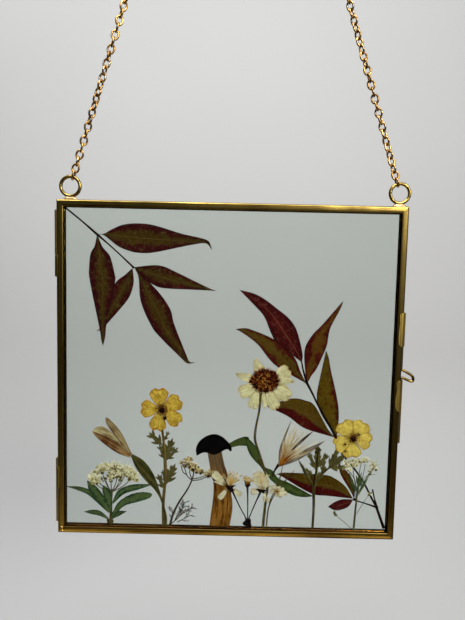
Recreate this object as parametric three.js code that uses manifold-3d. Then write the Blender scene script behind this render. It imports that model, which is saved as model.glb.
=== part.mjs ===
// A hinged brass floating frame: two channel-edged panes of glass that open like a book, a wire
// bolt that locks them, a chain that hangs them, and pressed flowers and leaves between the panes.
// Millimetres. +Z is up, the front faces -Y, +X is to the right of someone looking at the front.
// The origin is the hanging point, on the inside of the hanging ring at its top.

import * as THREE from 'three';
import { mergeVertices } from 'three/addons/utils/BufferGeometryUtils.js';
import Module from 'manifold-3d';

const wasm = await Module();
wasm.setup();

// Driving dimensions ------------------------------------------------------------------------

const FRAME_WIDTH = 200;
const FRAME_HEIGHT = 196;
const PARTING_GAP = 0.2;          // between the closed front and back channels
const CAME_DEPTH = 3.35;          // front to back, of one channel
const CAME_LIP = 4.0;             // how far a channel reaches over the glass
const CAME_SHEET = 0.45;          // thickness of the channel's brass
const CAME_ROUND = 1.1;           // radius of the channel's outer corners
const MITRE_GAP = 0.06;           // each rail stops this far short of its mitre plane
const GLASS_THICKNESS = 2;
const GLASS_EDGE_GAP = 0.3;       // between a glass edge and the bottom of its channel

const BARREL_RADIUS = 1.1;        // hinge and latch tubes
const BARREL_BORE = 0.75;
const BARREL_OFFSET = 0.85;       // barrel centre outside the frame's edge
const PIN_RADIUS = 0.55;
const KNUCKLE_GAP = 0.3;          // between neighbouring barrels on one pin
const LEAF_SHEET = 0.35;          // thickness of a strap soldered on a channel
const SOLDER_GAP = 0.1;           // between a strap and the channel it is soldered to

const RING_OUTER = 13;            // eyelet rings at the top corners
const RING_WIRE = 1.7;
const RING_CENTRE_Z = 106;
const RING_LEFT_X = -93.5;
const RING_RIGHT_X = 95.8;
const SADDLE_LENGTH = 9;
const SADDLE_HEIGHT = 2.1;

const HANGER_OUTER = 11;          // ring at the top of the chain
const HANGER_WIRE = 1.5;
const CHAIN_WIDTH = 4.7;
const CHAIN_END_GAP = 0.3;
const CHAIN_TOP_ANGLE = THREE.MathUtils.degToRad(20);

const HANGER_X = -1.5;            // the chain has slipped a little to the left on its nail
const HANGER_Z = 410;             // hanging ring's centre above the frame's centre

const BOLT_RADIUS = 0.6;
const HANDLE_REACH = 7.2;         // how far the wire handle stands out from the bolt
const HANDLE_TOP = 3.8;
const HANDLE_BOTTOM = -1.0;
const HANDLE_BEND = 1.1;

const LAYER_PITCH = 0.22;         // pressed pieces lie in layers between the two glasses
const LAYER_SHEET = 0.16;
const BACK_LAYER_Y = 0.7;
const STEM_FOOT_Z = -93.6;        // stems end just above the bottom channel

// Heights of the hinge and latch barrels, measured from the frame's centre: [bottom, top].
const TOP_HINGE = { back: [66.5, 92.4], front: [54, 66.5] };
const BOTTOM_HINGE = { upper: [-57.2, -53.2], front: [-70.6, -57.2], lower: [-92.2, -70.6] };
const LATCH = { upper: [17.9, 37.6], lower: [-20, -1.9], keeper: [-39.7, -20.2] };

// Derived places ----------------------------------------------------------------------------

const HALF_WIDTH = FRAME_WIDTH / 2;
const HALF_HEIGHT = FRAME_HEIGHT / 2;
const BACK_Y = (PARTING_GAP + CAME_DEPTH) / 2;
const FRONT_Y = -BACK_Y;
const FACE_Y = PARTING_GAP / 2 + CAME_DEPTH;
const BARREL_X = HALF_WIDTH + BARREL_OFFSET;
const RING_MEAN = (RING_OUTER - RING_WIRE) / 2;
const HANGER_MEAN = (HANGER_OUTER - HANGER_WIRE) / 2;
const HANGER_DROP = HANGER_Z + HANGER_MEAN - HANGER_WIRE / 2;

// Finishes ----------------------------------------------------------------------------------

const finish = (color, roughness, metalness) =>
  new THREE.MeshStandardMaterial({ color, roughness, metalness });

const BRASS = finish(0x8a7636, 0.42, 1);
const CHAIN_BRASS = finish(0xb08a45, 0.35, 1);
const GLASS = new THREE.MeshStandardMaterial({
  color: 0xdde6e2, roughness: 0.03, metalness: 0, transparent: true, opacity: 0.25,
});
const BURGUNDY = finish(0x4a2420, 0.8, 0);
const OLIVE = finish(0x4b4322, 0.8, 0);
const GREEN = finish(0x3c5236, 0.8, 0);
const CREAM = finish(0xe2dcae, 0.85, 0);
const YELLOW = finish(0xcfa73c, 0.85, 0);
const BROWN = finish(0x7a5330, 0.85, 0);
const DARK = finish(0x1c1512, 0.9, 0);

// Helpers -----------------------------------------------------------------------------------

const model = new THREE.Group();
model.position.set(-HANGER_X, -BACK_Y, -HANGER_DROP);

function add(name, geometry, material) {
  const mesh = new THREE.Mesh(geometry, material);
  mesh.name = name;
  model.add(mesh);
  return mesh;
}

function toSolid(geometry) {
  const plain = geometry.clone();
  plain.deleteAttribute('normal');
  plain.deleteAttribute('uv');
  const merged = mergeVertices(plain, 1e-4);
  return new wasm.Manifold(new wasm.Mesh({
    numProp: 3,
    vertProperties: new Float32Array(merged.attributes.position.array),
    triVerts: new Uint32Array(merged.index.array),
  }));
}

function toGeometry(solid) {
  const mesh = solid.getMesh();
  const geometry = new THREE.BufferGeometry();
  geometry.setAttribute('position', new THREE.BufferAttribute(mesh.vertProperties, 3));
  geometry.setIndex(new THREE.BufferAttribute(mesh.triVerts, 1));
  geometry.computeVertexNormals();
  return geometry;
}

function joined(geometries) {
  return toGeometry(geometries.map(toSolid).reduce((whole, next) => whole.add(next)));
}

// A flat piece cut to an outline of [x, z] points, from yBack towards the front.
function plate(outline, yBack, thickness) {
  const shape = new THREE.Shape(outline.map(([x, z]) => new THREE.Vector2(x, z)));
  const geometry = new THREE.ExtrudeGeometry(shape, { depth: thickness, bevelEnabled: false });
  geometry.rotateX(Math.PI / 2);
  geometry.translate(0, yBack, 0);
  return geometry;
}

// A prism standing along Z from an outline of [x, y] points.
function prism(shape, bottom, top) {
  const geometry = new THREE.ExtrudeGeometry(shape, {
    depth: top - bottom, bevelEnabled: false, curveSegments: 12,
  });
  geometry.translate(0, 0, bottom);
  return geometry;
}

// Channel-edged panes -----------------------------------------------------------------------

// The channel's section: x runs inwards from the frame's edge, y runs through its depth.
function cameSection() {
  const half = CAME_DEPTH / 2;
  const shape = new THREE.Shape();
  shape.moveTo(CAME_LIP, -half);
  shape.lineTo(CAME_LIP, -half + CAME_SHEET);
  shape.lineTo(CAME_SHEET, -half + CAME_SHEET);
  shape.lineTo(CAME_SHEET, half - CAME_SHEET);
  shape.lineTo(CAME_LIP, half - CAME_SHEET);
  shape.lineTo(CAME_LIP, half);
  shape.absarc(CAME_ROUND, half - CAME_ROUND, CAME_ROUND, Math.PI / 2, Math.PI, false);
  shape.absarc(CAME_ROUND, -half + CAME_ROUND, CAME_ROUND, Math.PI, 1.5 * Math.PI, false);
  shape.closePath();
  return shape;
}

// One mitred rail. It starts at an outer corner and runs along its side of the frame.
function rail(start, along, inward, length, y) {
  const geometry = new THREE.ExtrudeGeometry(cameSection(), {
    depth: length, bevelEnabled: false, curveSegments: 4,
  });
  const position = geometry.attributes.position;
  for (let i = 0; i < position.count; i += 1) {
    const inset = position.getX(i) + MITRE_GAP;
    const atStart = position.getZ(i) < length / 2;
    position.setZ(i, atStart ? inset : length - inset);
  }
  const depth = new THREE.Vector3().crossVectors(along, inward);
  geometry.applyMatrix4(new THREE.Matrix4().makeBasis(inward, depth, along));
  geometry.translate(start[0], y, start[1]);
  return geometry;
}

function pane(side, y) {
  const right = new THREE.Vector3(1, 0, 0);
  const left = new THREE.Vector3(-1, 0, 0);
  const up = new THREE.Vector3(0, 0, 1);
  const down = new THREE.Vector3(0, 0, -1);
  const [w, h] = [HALF_WIDTH, HALF_HEIGHT];
  add(`${side}_rail_top`, rail([-w, h], right, down, FRAME_WIDTH, y), BRASS);
  add(`${side}_rail_bottom`, rail([-w, -h], right, up, FRAME_WIDTH, y), BRASS);
  add(`${side}_rail_left`, rail([-w, -h], up, right, FRAME_HEIGHT, y), BRASS);
  add(`${side}_rail_right`, rail([w, -h], up, left, FRAME_HEIGHT, y), BRASS);
  const margin = 2 * (CAME_SHEET + GLASS_EDGE_GAP);
  const glass = new THREE.BoxGeometry(
    FRAME_WIDTH - margin, GLASS_THICKNESS, FRAME_HEIGHT - margin,
  );
  glass.translate(0, y, 0);
  add(`${side}_glass`, glass, GLASS);
}

pane('back', BACK_Y);
pane('front', FRONT_Y);

// Barrels, straps and pins ------------------------------------------------------------------

function barrel(x, [bottom, top], radius = BARREL_RADIUS, bore = BARREL_BORE) {
  const shape = new THREE.Shape();
  shape.absarc(0, 0, radius, 0, 2 * Math.PI, false);
  const hole = new THREE.Path();
  hole.absarc(0, 0, bore, 0, 2 * Math.PI, true);
  shape.holes.push(hole);
  const geometry = new THREE.ExtrudeGeometry(shape, {
    depth: top - bottom, bevelEnabled: false, curveSegments: 8,
  });
  geometry.translate(x, 0, bottom);
  return geometry;
}

// A barrel with the strap that holds it: over the channel's side and a tongue on its face.
// side is -1 at the left edge and 1 at the right, face is -1 for the front pane, 1 for the back.
function strappedBarrel(side, face, [bottom, top], tongueReach) {
  const x = side * BARREL_X;
  const wallIn = HALF_WIDTH + SOLDER_GAP;
  const wallOut = wallIn + LEAF_SHEET;
  const faceIn = FACE_Y + SOLDER_GAP;
  const faceOut = faceIn + LEAF_SHEET;
  const strap = new THREE.Shape([
    [wallIn, 0.75], [wallOut, 0.7], [wallOut, faceOut - 0.9], [HALF_WIDTH - 0.7, faceOut],
    [HALF_WIDTH - tongueReach, faceOut], [HALF_WIDTH - tongueReach, faceIn],
    [HALF_WIDTH - 0.7, faceIn], [wallIn, faceIn - 0.8],
  ].map(([u, v]) => new THREE.Vector2(side * u, face * v)));
  const strapPiece = prism(strap, bottom, top);
  const neck = new THREE.Shape([
    [wallIn, 0.72], [BARREL_X, 0.92], [BARREL_X + 0.3, 0.98], [wallOut, 1.5], [wallIn, 1.5],
  ].map(([u, v]) => new THREE.Vector2(side * u, face * v)));
  const neckPiece = prism(neck, bottom, top);
  return joined([barrel(x, [bottom, top]), neckPiece, strapPiece]);
}

function pin(x, [bottom, top]) {
  const geometry = new THREE.CylinderGeometry(PIN_RADIUS, PIN_RADIUS, top - bottom, 12);
  geometry.rotateX(Math.PI / 2);
  geometry.translate(x, 0, (bottom + top) / 2);
  return geometry;
}

function trimmed([bottom, top]) {
  return [bottom + KNUCKLE_GAP / 2, top - KNUCKLE_GAP / 2];
}

const TONGUE = 3.2;
const SHORT_TONGUE = 1.3;           // the front hinge knuckles barely wrap round the corner
add('hinge_top_back_knuckle', strappedBarrel(-1, 1, trimmed(TOP_HINGE.back), TONGUE), BRASS);
add('hinge_top_front_knuckle', strappedBarrel(-1, -1, trimmed(TOP_HINGE.front), SHORT_TONGUE), BRASS);
add('hinge_top_pin', pin(-BARREL_X, [TOP_HINGE.front[0], TOP_HINGE.back[1]]), BRASS);
add('hinge_bottom_back_knuckle_upper',
  strappedBarrel(-1, 1, trimmed(BOTTOM_HINGE.upper), TONGUE), BRASS);
add('hinge_bottom_front_knuckle',
  strappedBarrel(-1, -1, trimmed(BOTTOM_HINGE.front), SHORT_TONGUE), BRASS);
add('hinge_bottom_back_knuckle_lower',
  strappedBarrel(-1, 1, trimmed(BOTTOM_HINGE.lower), TONGUE), BRASS);
add('hinge_bottom_pin', pin(-BARREL_X, [BOTTOM_HINGE.lower[0], BOTTOM_HINGE.upper[1]]), BRASS);

add('latch_guide_upper', strappedBarrel(1, -1, LATCH.upper, TONGUE), BRASS);
add('latch_guide_lower', strappedBarrel(1, -1, LATCH.lower, TONGUE), BRASS);
add('latch_keeper', strappedBarrel(1, 1, trimmed(LATCH.keeper), TONGUE), BRASS);

// The bolt is one bent wire: down through the upper guide, out and back as a U-shaped handle that
// rests on the lower guide, and on down through the lower guide, ending just above the keeper.
function boltPath() {
  const path = new THREE.CurvePath();
  const at = (u, z) => new THREE.Vector3(BARREL_X + u, 0, z);
  const bend = HANDLE_BEND;
  const tipTop = HANDLE_TOP - 0.9;
  const tipBottom = HANDLE_BOTTOM - 0.1;
  const line = (from, to) => path.add(new THREE.LineCurve3(from, to));
  const turn = (from, corner, to) =>
    path.add(new THREE.QuadraticBezierCurve3(from, corner, to));
  line(at(0, LATCH.upper[1] - 1.5), at(0, HANDLE_TOP + bend));
  turn(at(0, HANDLE_TOP + bend), at(0, HANDLE_TOP), at(bend, HANDLE_TOP));
  line(at(bend, HANDLE_TOP), at(HANDLE_REACH - 2.2, tipTop + 0.3));
  turn(at(HANDLE_REACH - 2.2, tipTop + 0.3), at(HANDLE_REACH, tipTop),
    at(HANDLE_REACH, (tipTop + tipBottom) / 2));
  turn(at(HANDLE_REACH, (tipTop + tipBottom) / 2), at(HANDLE_REACH, tipBottom),
    at(HANDLE_REACH - 2.2, tipBottom));
  line(at(HANDLE_REACH - 2.2, tipBottom), at(bend, HANDLE_BOTTOM));
  turn(at(bend, HANDLE_BOTTOM), at(0.1, HANDLE_BOTTOM), at(0, HANDLE_BOTTOM - 0.6));
  line(at(0, HANDLE_BOTTOM - 0.6), at(0, LATCH.lower[0] + 0.4));
  return path;
}

function wireAlong(path, radius, steps, sides) {
  const section = new THREE.Shape();
  section.absarc(0, 0, radius, 0, 2 * Math.PI, false);
  return new THREE.ExtrudeGeometry(section, {
    steps, extrudePath: path, curveSegments: sides, bevelEnabled: false,
  });
}

const BOLT_STEPS = 38;
add('latch_bolt', wireAlong(boltPath(), BOLT_RADIUS, BOLT_STEPS, 4), BRASS);

// Rings, saddles and chain ------------------------------------------------------------------

const RING_SIDES = 7;
const RING_STEPS = 24;
const GROOVE_STEPS = 32;
const GROOVE_GAP = 0.25;

function ring(x, z, mean, wireRadius, around) {
  const geometry = new THREE.TorusGeometry(mean, wireRadius, RING_SIDES, around);
  geometry.rotateX(Math.PI / 2);
  geometry.translate(x, BACK_Y, z);
  return geometry;
}

function saddle(x) {
  const base = SADDLE_LENGTH / 2;
  const block = plate(
    [[-base, 0], [base, 0], [base - 1.1, SADDLE_HEIGHT], [-base + 1.1, SADDLE_HEIGHT]],
    1.4, 2.8,
  );
  block.translate(x, BACK_Y, HALF_HEIGHT + SOLDER_GAP);
  const groove = ring(x, RING_CENTRE_Z, RING_MEAN, RING_WIRE / 2 + GROOVE_GAP, GROOVE_STEPS);
  return toGeometry(toSolid(block).subtract(toSolid(groove)));
}

for (const [side, x] of [['left', RING_LEFT_X], ['right', RING_RIGHT_X]]) {
  add(`ring_${side}`, ring(x, RING_CENTRE_Z, RING_MEAN, RING_WIRE / 2, RING_STEPS), BRASS);
  add(`ring_saddle_${side}`, saddle(x), BRASS);
}

add('hanging_ring', ring(HANGER_X, HANGER_Z, HANGER_MEAN, HANGER_WIRE / 2, RING_STEPS), CHAIN_BRASS);

// One straight leg of the chain, as the plain round outline that its links fill.
function chainLeg(ringX, side) {
  const top = new THREE.Vector3(
    HANGER_X + side * HANGER_MEAN * Math.sin(CHAIN_TOP_ANGLE), BACK_Y,
    HANGER_Z - HANGER_MEAN * Math.cos(CHAIN_TOP_ANGLE),
  );
  const ringCentre = new THREE.Vector3(ringX, BACK_Y, RING_CENTRE_Z);
  const along = top.clone().sub(ringCentre).normalize();
  const start = ringCentre.clone().addScaledVector(along, RING_OUTER / 2 + 2 * CHAIN_END_GAP);
  const end = top.clone().addScaledVector(along, -HANGER_WIRE / 2 - 3 * CHAIN_END_GAP);
  const length = end.distanceTo(start);
  const geometry = new THREE.CylinderGeometry(CHAIN_WIDTH / 2, CHAIN_WIDTH / 2, length, 8);
  geometry.applyQuaternion(
    new THREE.Quaternion().setFromUnitVectors(new THREE.Vector3(0, 1, 0), along),
  );
  const middle = start.clone().add(end).multiplyScalar(0.5);
  geometry.translate(middle.x, middle.y, middle.z);
  return geometry;
}

function cutAtMiddle(geometry, side) {
  const half = new THREE.BoxGeometry(400, 40, 1200);
  half.translate(HANGER_X + side * (200 + CHAIN_END_GAP / 2), BACK_Y, 0);
  return toGeometry(toSolid(geometry).intersect(toSolid(half)));
}

add('chain_left', cutAtMiddle(chainLeg(RING_LEFT_X, -1), -1), CHAIN_BRASS);
add('chain_right', cutAtMiddle(chainLeg(RING_RIGHT_X, 1), 1), CHAIN_BRASS);

// Pressed pieces ----------------------------------------------------------------------------
// Each is a thin plate cut to its outline, in a layer of its own where it crosses another.
// Layer 0 lies on the back glass. Points are [x, z] from the frame's centre.

function inLayer(outline, layer, layers = 1) {
  const thickness = LAYER_SHEET + (layers - 1) * LAYER_PITCH;
  return plate(outline, BACK_LAYER_Y - layer * LAYER_PITCH, thickness);
}

// The middle line from base to tip, bowed to its left by bend, and the way across it.
function spineAt(base, tip, bend, t) {
  const [dx, dz] = [tip[0] - base[0], tip[1] - base[1]];
  const length = Math.hypot(dx, dz);
  const across = [-dz / length, dx / length];
  const bow = 4 * bend * t * (1 - t);
  return { at: [base[0] + dx * t + across[0] * bow, base[1] + dz * t + across[1] * bow], across };
}

function leafOutline({ base, tip, width, bend = 0, peak = 0.42, steps = 8 }) {
  const rise = Math.log(0.5) / Math.log(peak);
  const [left, right] = [[], []];
  for (let i = 1; i < steps; i += 1) {
    const t = i / steps;
    const half = (width / 2) * Math.sin(Math.PI * t ** rise) ** 0.85 + 0.15;
    const { at, across } = spineAt(base, tip, bend, t);
    left.push([at[0] + across[0] * half, at[1] + across[1] * half]);
    right.push([at[0] - across[0] * half, at[1] - across[1] * half]);
  }
  return [base, ...right, tip, ...left.reverse()];
}

// A ribbon of even width along a smooth line through the given points.
function stemOutline(points, width, steps = 10) {
  const curve = new THREE.SplineCurve(points.map(([x, z]) => new THREE.Vector2(x, z)));
  const [left, right] = [[], []];
  for (let i = 0; i <= steps; i += 1) {
    const at = curve.getPoint(i / steps);
    const tangent = curve.getTangent(i / steps);
    left.push([at.x - tangent.y * width / 2, at.y + tangent.x * width / 2]);
    right.push([at.x + tangent.y * width / 2, at.y - tangent.x * width / 2]);
  }
  return [...right, ...left.reverse()];
}

function ovalOutline([x, z], radiusX, radiusZ, points = 16) {
  return Array.from({ length: points }, (_, i) => {
    const angle = 2 * Math.PI * i / points;
    return [x + radiusX * Math.cos(angle), z + radiusZ * Math.sin(angle)];
  });
}

// A flower's outline: a heart and rounded petals, each [direction in degrees, length, width].
function flowerPlates([x, z], heart, petals, layer, layers) {
  const plates = [inLayer(ovalOutline([x, z], heart, heart, 12), layer, layers)];
  for (const [degrees, length, width] of petals) {
    const angle = THREE.MathUtils.degToRad(degrees);
    const tip = [x + length * Math.cos(angle), z + length * Math.sin(angle)];
    plates.push(inLayer(
      leafOutline({ base: [x, z], tip, width, peak: 0.62, steps: 5 }), layer, layers,
    ));
  }
  return joined(plates);
}

function leaves(prefix, list, material) {
  list.forEach((leaf, i) => {
    add(`${prefix}_leaf_${i + 1}`, inLayer(leafOutline(leaf), leaf.layer), material);
  });
}

const stemPlates = (stems, layer, layers) => stems.map(
  ({ points, width, steps = 3 }) => inLayer(stemOutline(points, width, steps), layer, layers),
);
const leafPlates = (list, layer, layers) => list.map(
  (leaf) => inLayer(leafOutline({ steps: 5, ...leaf }), layer, layers),
);

// Upper left: a compound leaf whose stalk runs out of the corner.
add('nandina_left_stem', joined(stemPlates([
  { points: [[-95.2, 93.2], [-77.3, 78.1], [-56.2, 60.4]], width: 0.9 },
], 3)), DARK);
leaves('nandina_left', [
  { base: [-76.6, 78.4], tip: [-12.6, 75.2], width: 16.4, bend: 0.4, peak: 0.38, layer: 2 },
  { base: [-77.4, 77.6], tip: [-73.7, 14.5], width: 15, bend: 1.6, peak: 0.36, layer: 2 },
  { base: [-56.6, 60.2], tip: [-77.6, 22.9], width: 12.4, bend: 0.7, peak: 0.42, layer: 1 },
  { base: [-55.9, 59.6], tip: [-20, 6], width: 13, bend: -3, peak: 0.45, layer: 2 },
  { base: [-55.8, 60.6], tip: [-8.9, 48], width: 12.6, bend: -2, peak: 0.36, layer: 1 },
], OLIVE);

// Right: a redder compound leaf that rises from the bottom right corner.
add('nandina_right_stem', joined(stemPlates([
  {
    points: [[45.2, -4.4], [52.2, -16.9], [59.1, -28.7], [64.2, -37.7], [73.9, -51.7],
      [82.3, -64], [89.7, -78.6], [94.6, -92.6]],
    width: 1.3, steps: 14,
  },
  { points: [[76.2, -74.8], [82.8, -76.6], [89.9, -79]], width: 0.9 },
  { points: [[86.7, -68.6], [88.6, -74], [90.1, -79.2]], width: 0.9 },
], 2)), BURGUNDY);
leaves('nandina_right', [
  { base: [45.2, -4.1], tip: [5.3, 48.6], width: 13.6, bend: -6.4, peak: 0.5, layer: 1 },
  { base: [44.7, -3.7], tip: [3.5, 25.7], width: 12, bend: -3, peak: 0.48, layer: 3 },
  { base: [45.9, -3.7], tip: [64.7, 43.1], width: 11.6, bend: 3, peak: 0.44, layer: 3 },
  { base: [64.1, -37.6], tip: [56.4, 14.1], width: 13, bend: 2, peak: 0.42, layer: 1 },
  { base: [64, -37.8], tip: [23.3, -19.7], width: 14.2, bend: -4.5, peak: 0.46, layer: 0 },
  { base: [76.9, -73.6], tip: [66, -54.7], width: 8, bend: 0, peak: 0.5, layer: 0 },
  { base: [75, -74.8], tip: [28.6, -59.6], width: 11.5, bend: -1.7, peak: 0.5, layer: 1 },
  { base: [76.1, -75.6], tip: [61.2, -80.5], width: 6.8, bend: -0.6, peak: 0.5, layer: 0 },
], BURGUNDY);

// Centre: a large cream daisy on a bent stalk with two green leaves.
const DAISY = [20.8, -3.8];
add('cream_daisy_head', flowerPlates(DAISY, 8, [
  [115, 14.6, 7], [168, 17.8, 6], [206, 18, 8], [243, 19.1, 8], [269, 17, 6],
  [293, 18.9, 8], [321, 19.7, 9], [359, 18.2, 8], [31, 16.4, 7],
], 4), CREAM);
add('cream_daisy_stem', joined([
  ...stemPlates([
    {
      points: [[18.6, -11], [16.4, -38.9], [21.4, -56], [23.1, -73], [22.4, STEM_FOOT_Z]],
      width: 1.6, steps: 12,
    },
    { points: [[19.4, -53], [21.6, -56.2], [24, -58]], width: 2 },
  ], 5),
  ...leafPlates([
    { base: [20.6, -57], tip: [9, -38], width: 6, bend: -2, peak: 0.45 },
    { base: [12.6, -40.6], tip: [0.6, -44.2], width: 5.4, bend: -1, peak: 0.4 },
    { base: [22.4, -55.8], tip: [51.7, -72.9], width: 9.4, bend: -2, peak: 0.42 },
  ], 5),
]), GREEN);

// Left of centre: a yellow flower on a leafy stalk.
add('yellow_flower_left_head', flowerPlates([-38, -22.4], 3.2, [
  [104, 12.6, 11], [30, 12, 10], [-44, 13.6, 9], [-104, 13.6, 10], [176, 14.2, 10],
], 3), YELLOW);
add('yellow_flower_left_stem', joined([
  ...stemPlates([{
    points: [[-38.2, -30], [-37.4, -50], [-36.3, -68], [-37.6, STEM_FOOT_Z]], width: 1.7, steps: 9,
  }], 1),
  ...leafPlates([
    { base: [-37.8, -45], tip: [-45, -35], width: 7 },
    { base: [-37.2, -54], tip: [-30, -40], width: 7 },
    { base: [-37, -55], tip: [-40.5, -44], width: 4 },
    { base: [-36.6, -66], tip: [-31, -54], width: 7 },
    { base: [-36.4, -71], tip: [-40.3, -62], width: 4.5 },
  ], 1),
]), GREEN);

// Right: a second yellow flower beside a plant with deeply cut leaves.
add('yellow_flower_right_head', flowerPlates([74.4, -38.4], 3, [
  [124, 11.8, 9.4], [61, 11.6, 9.4], [-8, 10.2, 9.4], [-88, 12, 9.4], [205, 11.6, 9],
], 4), YELLOW);
add('cut_leaf_plant', joined([
  ...stemPlates([
    { points: [[52.1, STEM_FOOT_Z], [52.4, -78], [51.8, -66], [53.4, -48]], width: 1.8 },
    { points: [[52, -66], [58, -58], [63.6, -54.5]], width: 1.4 },
  ], 3),
  ...leafPlates([
    { base: [51.6, -68], tip: [42.1, -51.2], width: 5.4 },
    { base: [52.6, -57], tip: [48.6, -44.6], width: 5 },
    { base: [53.4, -52], tip: [53.6, -41.2], width: 7 },
    { base: [53, -68], tip: [58.6, -56.4], width: 5.4 },
    { base: [54.4, -58], tip: [60.4, -46.8], width: 5.4 },
    { base: [61, -57], tip: [69.4, -44.8], width: 8 },
    { base: [62, -54.6], tip: [69.6, -55.4], width: 5 },
  ], 3),
]), GREEN);

// Left: a closed lily bud on a long blade.
add('lily_bud', joined(leafPlates([
  { base: [-56.4, -51.6], tip: [-80.2, -36.6], width: 8, bend: 1.2, peak: 0.42 },
  { base: [-56.6, -50.6], tip: [-72.3, -28.2], width: 7, bend: -1, peak: 0.42 },
  { base: [-58, -49.4], tip: [-78.6, -33.4], width: 8, bend: 0, peak: 0.6 },
], 3)), BROWN);
add('lily_leaf', joined(leafPlates([
  { base: [-57, -50], tip: [-35.8, STEM_FOOT_Z], width: 6, bend: 3.6, peak: 0.4, steps: 9 },
], 4)), GREEN);

// Centre right: a papery seed head with long bracts, and blades of grass.
add('papery_seed_head', joined([
  ...stemPlates([{ points: [[26.9, -61], [28.6, -57.4], [31, -53]], width: 1.1 }], 4),
  ...leafPlates([
    { base: [30.3, -54.4], tip: [37.6, -26.6], width: 3.6, bend: 1.4 },
    { base: [30.6, -54], tip: [49.6, -35], width: 8, bend: 0, peak: 0.4 },
    { base: [30.8, -54.2], tip: [56.7, -39.3], width: 3.6, bend: -1.4 },
  ], 4),
]), BROWN);

// Lower left: a flat-topped white flower head over a tuft of leaves.
add('white_umbel_head', joined([
  inLayer(ovalOutline([-67.4, -59.6], 15, 5.6), 3),
  inLayer(ovalOutline([-77.4, -64.6], 5.4, 4.4, 9), 3),
  inLayer(ovalOutline([-57, -63.8], 5.6, 4.4, 9), 3),
  inLayer(ovalOutline([-67, -65.4], 4, 4, 9), 3),
]), CREAM);
add('white_umbel_stem', joined([
  ...stemPlates([
    { points: [[-67.4, -64], [-68.4, -76], [-69.2, STEM_FOOT_Z]], width: 2 },
    { points: [[-77, -66], [-71, -71], [-68.4, -78]], width: 0.8 },
    { points: [[-58, -66], [-65.4, -71], [-68.2, -78]], width: 0.8 },
  ], 2),
  ...leafPlates([
    { base: [-69.4, -88], tip: [-94.2, -70.8], width: 5, bend: 1.4 },
    { base: [-69.6, -86], tip: [-83.2, -67], width: 5.8, bend: -1 },
    { base: [-69, -85], tip: [-73.2, -69.2], width: 5 },
    { base: [-68.6, -80.6], tip: [-44.6, -68.4], width: 4.6, bend: 2 },
    { base: [-68.8, -88], tip: [-44.8, -74.2], width: 7, bend: 1.4, peak: 0.6 },
    { base: [-69.6, -91], tip: [-84.4, -86.2], width: 3.8, bend: -1 },
    { base: [-68.8, -90], tip: [-59.8, -85.4], width: 3.4, bend: 1 },
  ], 2),
]), GREEN);

// A branching sprig beside the mushroom, with florets above and a feathery branch at its foot.
add('floret_sprig', joined([
  ...stemPlates([
    { points: [[-34, STEM_FOOT_Z], [-31, -84], [-24, -72], [-20.4, -62]], width: 0.8, steps: 6 },
    { points: [[-22.4, -67], [-26, -61], [-27.4, -56]], width: 0.5 },
    { points: [[-22.6, -68.4], [-17, -67], [-12.4, -62.6]], width: 0.5 },
    { points: [[-33.9, STEM_FOOT_Z + 0.3], [-27, -90], [-22.6, -86]], width: 0.5 },
    { points: [[-30.2, -91.7], [-26, -87], [-24, -78]], width: 0.5 },
    { points: [[-27, -90.4], [-23, -88], [-19.6, -82]], width: 0.5 },
    { points: [[-33, -91.6], [-33, -88], [-32, -82.6]], width: 0.5 },
  ], 3),
  inLayer(ovalOutline([-32.8, -92], 1.4, 1.4, 8), 3),
  inLayer(ovalOutline([-28.6, -90.8], 2, 0.6, 8), 3),
  inLayer(ovalOutline([-24.6, -54.4], 4.6, 4, 9), 3),
  inLayer(ovalOutline([-17.8, -58.2], 4, 3.4, 9), 3),
  inLayer(ovalOutline([-11.8, -60.4], 4, 3.2, 9), 3),
]), CREAM);

// The mushroom: a dark cap over a streaked stalk, both pressed thin.
add('mushroom_stem', inLayer([
  [-12, -47], [-10.2, -58.5], [-8.5, -69.8], [-9.2, -78.5], [-10, STEM_FOOT_Z],
  [1.6, STEM_FOOT_Z], [3.3, -82], [3.1, -71], [0.2, -60], [-2.9, -47],
], 0, 2), BROWN);
add('mushroom_cap', inLayer([
  [-18.6, -47.4], [-17.6, -49], [-16, -48.2], [-12, -47.6], [-8, -47.8], [-4.4, -47], [0, -44.6],
  [2, -46], [2.5, -44.4], [1.6, -41.4], [-1.4, -38.6], [-5, -37], [-9.6, -36.8], [-13.6, -38.2],
  [-16.8, -41], [-18.4, -44.4],
], 2, 2), DARK);

// Lower centre: a spray of blossoms from one bud, and a small white flower beside it.
add('blossom_spray', joined([
  inLayer(ovalOutline([13, -90.6], 2.2, 3.2, 8), 4),
  inLayer(ovalOutline([2.4, -67.6], 2.4, 2.4, 8), 4),
  inLayer(ovalOutline([12.4, -66.6], 1.6, 1.8, 8), 4),
  inLayer(ovalOutline([20.6, -69.2], 2, 2, 8), 4),
  ...stemPlates([
    { points: [[12.4, -88], [7, -79], [2, -69]], width: 0.8 },
    { points: [[13, -88], [12.8, -77], [12.4, -66]], width: 0.8 },
    { points: [[13.6, -88], [17, -79], [20.6, -69]], width: 0.8 },
  ], 4),
  ...leafPlates([
    { base: [2.4, -67], tip: [-9, -59.6], width: 8 },
    { base: [2.4, -68], tip: [-4.4, -77.6], width: 6 },
    { base: [2.4, -67], tip: [5, -56.4], width: 8, peak: 0.6 },
    { base: [3, -69], tip: [9.2, -76.4], width: 4.6 },
    { base: [12.4, -68], tip: [12, -59], width: 6.6, peak: 0.6 },
    { base: [20.4, -70.4], tip: [20, -58], width: 11, peak: 0.6 },
    { base: [20.2, -68.6], tip: [15.2, -72.6], width: 4.4 },
    { base: [21, -69.4], tip: [22.4, -77.4], width: 4.4 },
  ], 4),
]), CREAM);
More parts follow.
